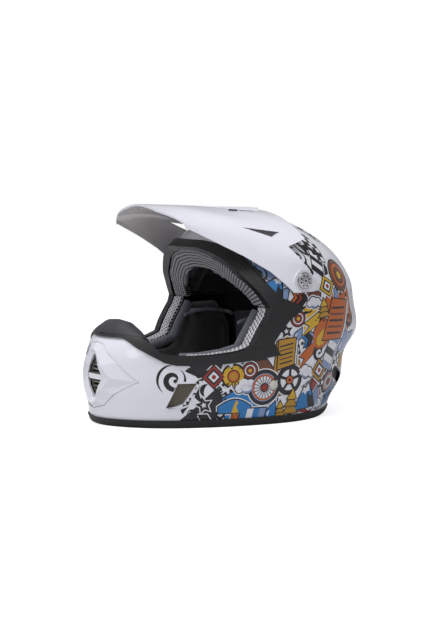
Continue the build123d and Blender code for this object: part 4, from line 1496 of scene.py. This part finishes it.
class HELMET_OT_strap(bpy.types.Operator):
    """The chin strap with its rings, snap, plates and rivets"""

    bl_idname = "helmet.strap"
    bl_label = "Strap"

    def execute(self, context):
        woven = webbing("woven_strap", colours().webbing)
        for node in ("strap_short", "strap_long"):
            dressed(node, woven, "webbing")
        steel = plated("ring_steel", colours().steel, 0.22)
        for node in ("d_ring_upper", "d_ring_lower", "strap_plates"):
            dressed(node, steel, "plate_steel")
        black = moulded("snap_black", colours().rubber, 0.3, MM, 0.01 * MM)
        dressed("strap_snap", black, "snap_plate")
        dressed("strap_rivets", enamel("rivet_enamel", colours().rivet), "rivet_paint")
        return {"FINISHED"}


# The screws' axis in the side view, and the forms on a head, in millimetres. A depth is below the head's top.
screw_spot = (37.4 * MM, 168.4 * MM)
rim_radius, rim_thick, rim_depth = 8.6, 0.7, 1.3
hub_radius, hub_bevel, hub_depth = 3.3, 0.4, 0.05
socket_radius = 1.5
hole_count, hole_turn = 8, 20
hole_ring, hole_radius, hole_depth = 5.9, 1.25, 0.3
bar_end, hole_end = 2, 3
# The grooves round the hub and round the head, dark rings of painted shade, each by its radius and depth.
GROOVES = ((3.9, 0.35), (9.3, 1.5))
groove_thick = 0.4


def hoop(radius, thick, x, facets):
    """A ring round the screws' axis."""
    bpy.ops.mesh.primitive_torus_add(
        location=(x, *screw_spot), rotation=(0, math.pi / 2, 0), major_radius=radius * MM,
        minor_radius=thick * MM, major_segments=48, minor_segments=facets,
    )
    return bpy.context.object


class HELMET_OT_screws(bpy.types.Operator):
    """The peak's screws with their washers and nuts"""

    bl_idname = "helmet.screws"
    bl_label = "Screws"

    def execute(self, context):
        metal = plated("screw_metal", shade(colours().steel, 0.86), 0.14)
        # Painted shade: dark plugs and rings stand in the socket, the ring of holes and the grooves.
        shadow = moulded("screw_recess", shade(colours().rubber, 0.6), 0.6, MM, 0.02 * MM)
        for side, sign in (("left", 1), ("right", -1)):
            dressed("visor_screw_" + side, metal, "screw_metal")
            top = max(abs(v.co.x) for v in NODES["visor_screw_" + side].data.vertices)

            def bar(radius, end, depth, spot, sides, bevel=0):
                return round_bar(
                    radius * MM, sign * (top - end * MM), sign * (top - depth * MM), spot, sides, bevel * MM
                )

            rings = [hoop(rim_radius, rim_thick, sign * (top - rim_depth * MM), 10)]
            rings.append(bar(hub_radius, bar_end, hub_depth, screw_spot, 32, hub_bevel))
            settle(joined("screw_ring_" + side, rings, metal), "visor_screw_" + side, "screw_metal")
            holes = [bar(socket_radius, bar_end, 0, screw_spot, 6)]
            for n in range(hole_count):
                t = math.radians(360 / hole_count * n + hole_turn)
                back, up = hole_ring * MM * math.cos(t), hole_ring * MM * math.sin(t)
                spot = (screw_spot[0] + back, screw_spot[1] + up)
                holes.append(bar(hole_radius, hole_end, hole_depth, spot, 16))
            for radius, depth in GROOVES:
                holes.append(hoop(radius, groove_thick, sign * (top - depth * MM), 8))
            settle(joined("screw_holes_" + side, holes, shadow), "visor_screw_" + side, "screw_metal")
        dressed("visor_nuts", metal, "nut_metal")
        nylon = moulded("washer_nylon", colours().rubber, 0.5, MM, 0.02 * MM)
        dressed("visor_washers", nylon, "washer")
        return {"FINISHED"}


# Stage

# The camera as solved from the photograph, whose pixels show its target at target_pixel.
view_distance = 2.2
view_azimuth = math.radians(58.7)
view_elevation = math.radians(5.1)
view_target = Vector((0, 3.5 * MM, 125 * MM))
focal_pixels = 1807.0
target_pixel = (223.5, 311.0)
frame_pixels = (421, 631)
sensor_width = 36.0
# Each lamp's name, its turn and rise round the helmet in degrees, its distance and size, and its power.
LAMPS = (
    ("Lamp_key", 15, 70, 1.8, 1.5, 28),
    ("Lamp_side", 75, 34, 2.0, 1.2, 2.2),
    ("Lamp_front", 20, 18, 2.0, 0.8, 2.2),
)
floor_size = 8
floor_drop = 0.2 * MM
floor_tone = (0.66, 0.66, 0.67)
floor_glow = (0.74, 0.74, 0.74)
sky_tone = (0.95, 0.96, 1.0)
sky_strength = 0.42


def backwards(azimuth, elevation):
    """The way from the target to a camera or a lamp, by its turn round the helmet and its rise."""
    level = math.cos(elevation)
    return Vector((math.sin(azimuth) * level, -math.cos(azimuth) * level, math.sin(elevation)))


def aimed(made, back):
    """Turns a camera or a lamp to the target."""
    made.rotation_mode = "QUATERNION"
    made.rotation_quaternion = (-back).to_track_quat("-Z", "Y")
    return made


def camera():
    """The camera at the photograph's angle."""
    back = backwards(view_azimuth, view_elevation)
    bpy.ops.object.camera_add(location=view_target + back * view_distance)
    made = aimed(bpy.context.object, back)
    wide, high = frame_pixels
    made.data.sensor_width = sensor_width
    made.data.lens = focal_pixels / high * sensor_width
    made.data.shift_x = (wide / 2 - target_pixel[0]) / high
    made.data.shift_y = (target_pixel[1] - high / 2) / high
    bpy.context.scene.camera = made


def lamp(name, azimuth, elevation, distance, size, power):
    """A soft lamp aimed at the helmet, round it by azimuth as the camera is."""
    back = backwards(math.radians(azimuth), math.radians(elevation))
    bpy.ops.object.light_add(type="AREA", location=view_target + back * distance)
    made = aimed(bpy.context.object, back)
    made.name = name
    made.data.shape = "DISK"
    made.data.size = size
    made.data.energy = power


def seen_white(tree, lit):
    """A background that is white to the camera, also through glass, and lit to all else."""
    path = tree.nodes.new("ShaderNodeLightPath")
    white = tree.nodes.new("ShaderNodeBackground")
    white.inputs["Color"].default_value = (1, 1, 1, 1)
    white.inputs["Strength"].default_value = 1
    seen = tree.nodes.new("ShaderNodeMath")
    seen.operation = "MAXIMUM"
    tree.links.new(path.outputs["Is Camera Ray"], seen.inputs[0])
    tree.links.new(path.outputs["Is Transmission Ray"], seen.inputs[1])
    mix = tree.nodes.new("ShaderNodeMixShader")
    tree.links.new(seen.outputs[0], mix.inputs[0])
    tree.links.new(lit.outputs[0], mix.inputs[1])
    tree.links.new(white.outputs[0], mix.inputs[2])
    return mix


class HELMET_OT_stage(bpy.types.Operator):
    """The floor, the lamps, the world and the camera"""

    bl_idname = "helmet.stage"
    bl_label = "Stage"

    def execute(self, context):
        camera()
        for entry in LAMPS:
            lamp(*entry)
        bpy.ops.mesh.primitive_plane_add(size=floor_size, location=(0, 0, -floor_drop))
        floor = context.object
        floor.name = "Floor"
        finish = bpy.data.materials.new("pale_floor")
        finish.use_nodes = True
        tree = finish.node_tree
        shader = tree.nodes["Principled BSDF"]
        shader.inputs["Base Color"].default_value = (*floor_tone, 1)
        shader.inputs["Roughness"].default_value = 1
        shader.inputs["Specular IOR Level"].default_value = 0
        path = tree.nodes.new("ShaderNodeLightPath")
        glow = tree.nodes.new("ShaderNodeEmission")
        tree.links.new(path.outputs["Is Camera Ray"], glow.inputs["Strength"])
        glow.inputs["Color"].default_value = (*floor_glow, 1)
        both = tree.nodes.new("ShaderNodeAddShader")
        tree.links.new(shader.outputs[0], both.inputs[0])
        tree.links.new(glow.outputs[0], both.inputs[1])
        tree.links.new(both.outputs[0], tree.nodes["Material Output"].inputs["Surface"])
        floor.data.materials.append(finish)
        world = bpy.data.worlds.new("White room")
        context.scene.world = world
        world.use_nodes = True
        tree = world.node_tree
        lit = tree.nodes["Background"]
        lit.inputs["Color"].default_value = (*sky_tone, 1)
        lit.inputs["Strength"].default_value = sky_strength
        mix = seen_white(tree, lit)
        tree.links.new(mix.outputs[0], tree.nodes["World Output"].inputs["Surface"])
        context.scene.view_settings.view_transform = "Standard"
        return {"FINISHED"}


PIECES = (
    HELMET_OT_shell,
    HELMET_OT_artwork,
    HELMET_OT_peak,
    HELMET_OT_trim,
    HELMET_OT_vents,
    HELMET_OT_foam,
    HELMET_OT_pads,
    HELMET_OT_brow,
    HELMET_OT_strap,
    HELMET_OT_screws,
    HELMET_OT_stage,
)


class HELMET_PT_panel(bpy.types.Panel):
    """The helmet's pieces, colours and sizes"""

    bl_idname = "HELMET_PT_panel"
    bl_label = "Downhill Helmet"
    bl_space_type = "VIEW_3D"
    bl_region_type = "UI"
    bl_category = "Helmet"

    def draw(self, context):
        for piece in PIECES:
            self.layout.operator(piece.bl_idname)
        for group in (colours(), sizes()):
            for name in group.__annotations__:
                self.layout.prop(group, name)


CLASSES = (HelmetColours, HelmetSizes, *PIECES, HELMET_PT_panel)


def register():
    for kind in CLASSES:
        bpy.utils.register_class(kind)
    bpy.types.Scene.helmet_colours = PointerProperty(type=HelmetColours)
    bpy.types.Scene.helmet_sizes = PointerProperty(type=HelmetSizes)


def unregister():
    del bpy.types.Scene.helmet_sizes
    del bpy.types.Scene.helmet_colours
    for kind in reversed(CLASSES):
        bpy.utils.unregister_class(kind)


def main():
    register()
    for piece in PIECES:
        group, call = piece.bl_idname.split(".")
        getattr(getattr(bpy.ops, group), call)()


if __name__ == "__main__":
    main()
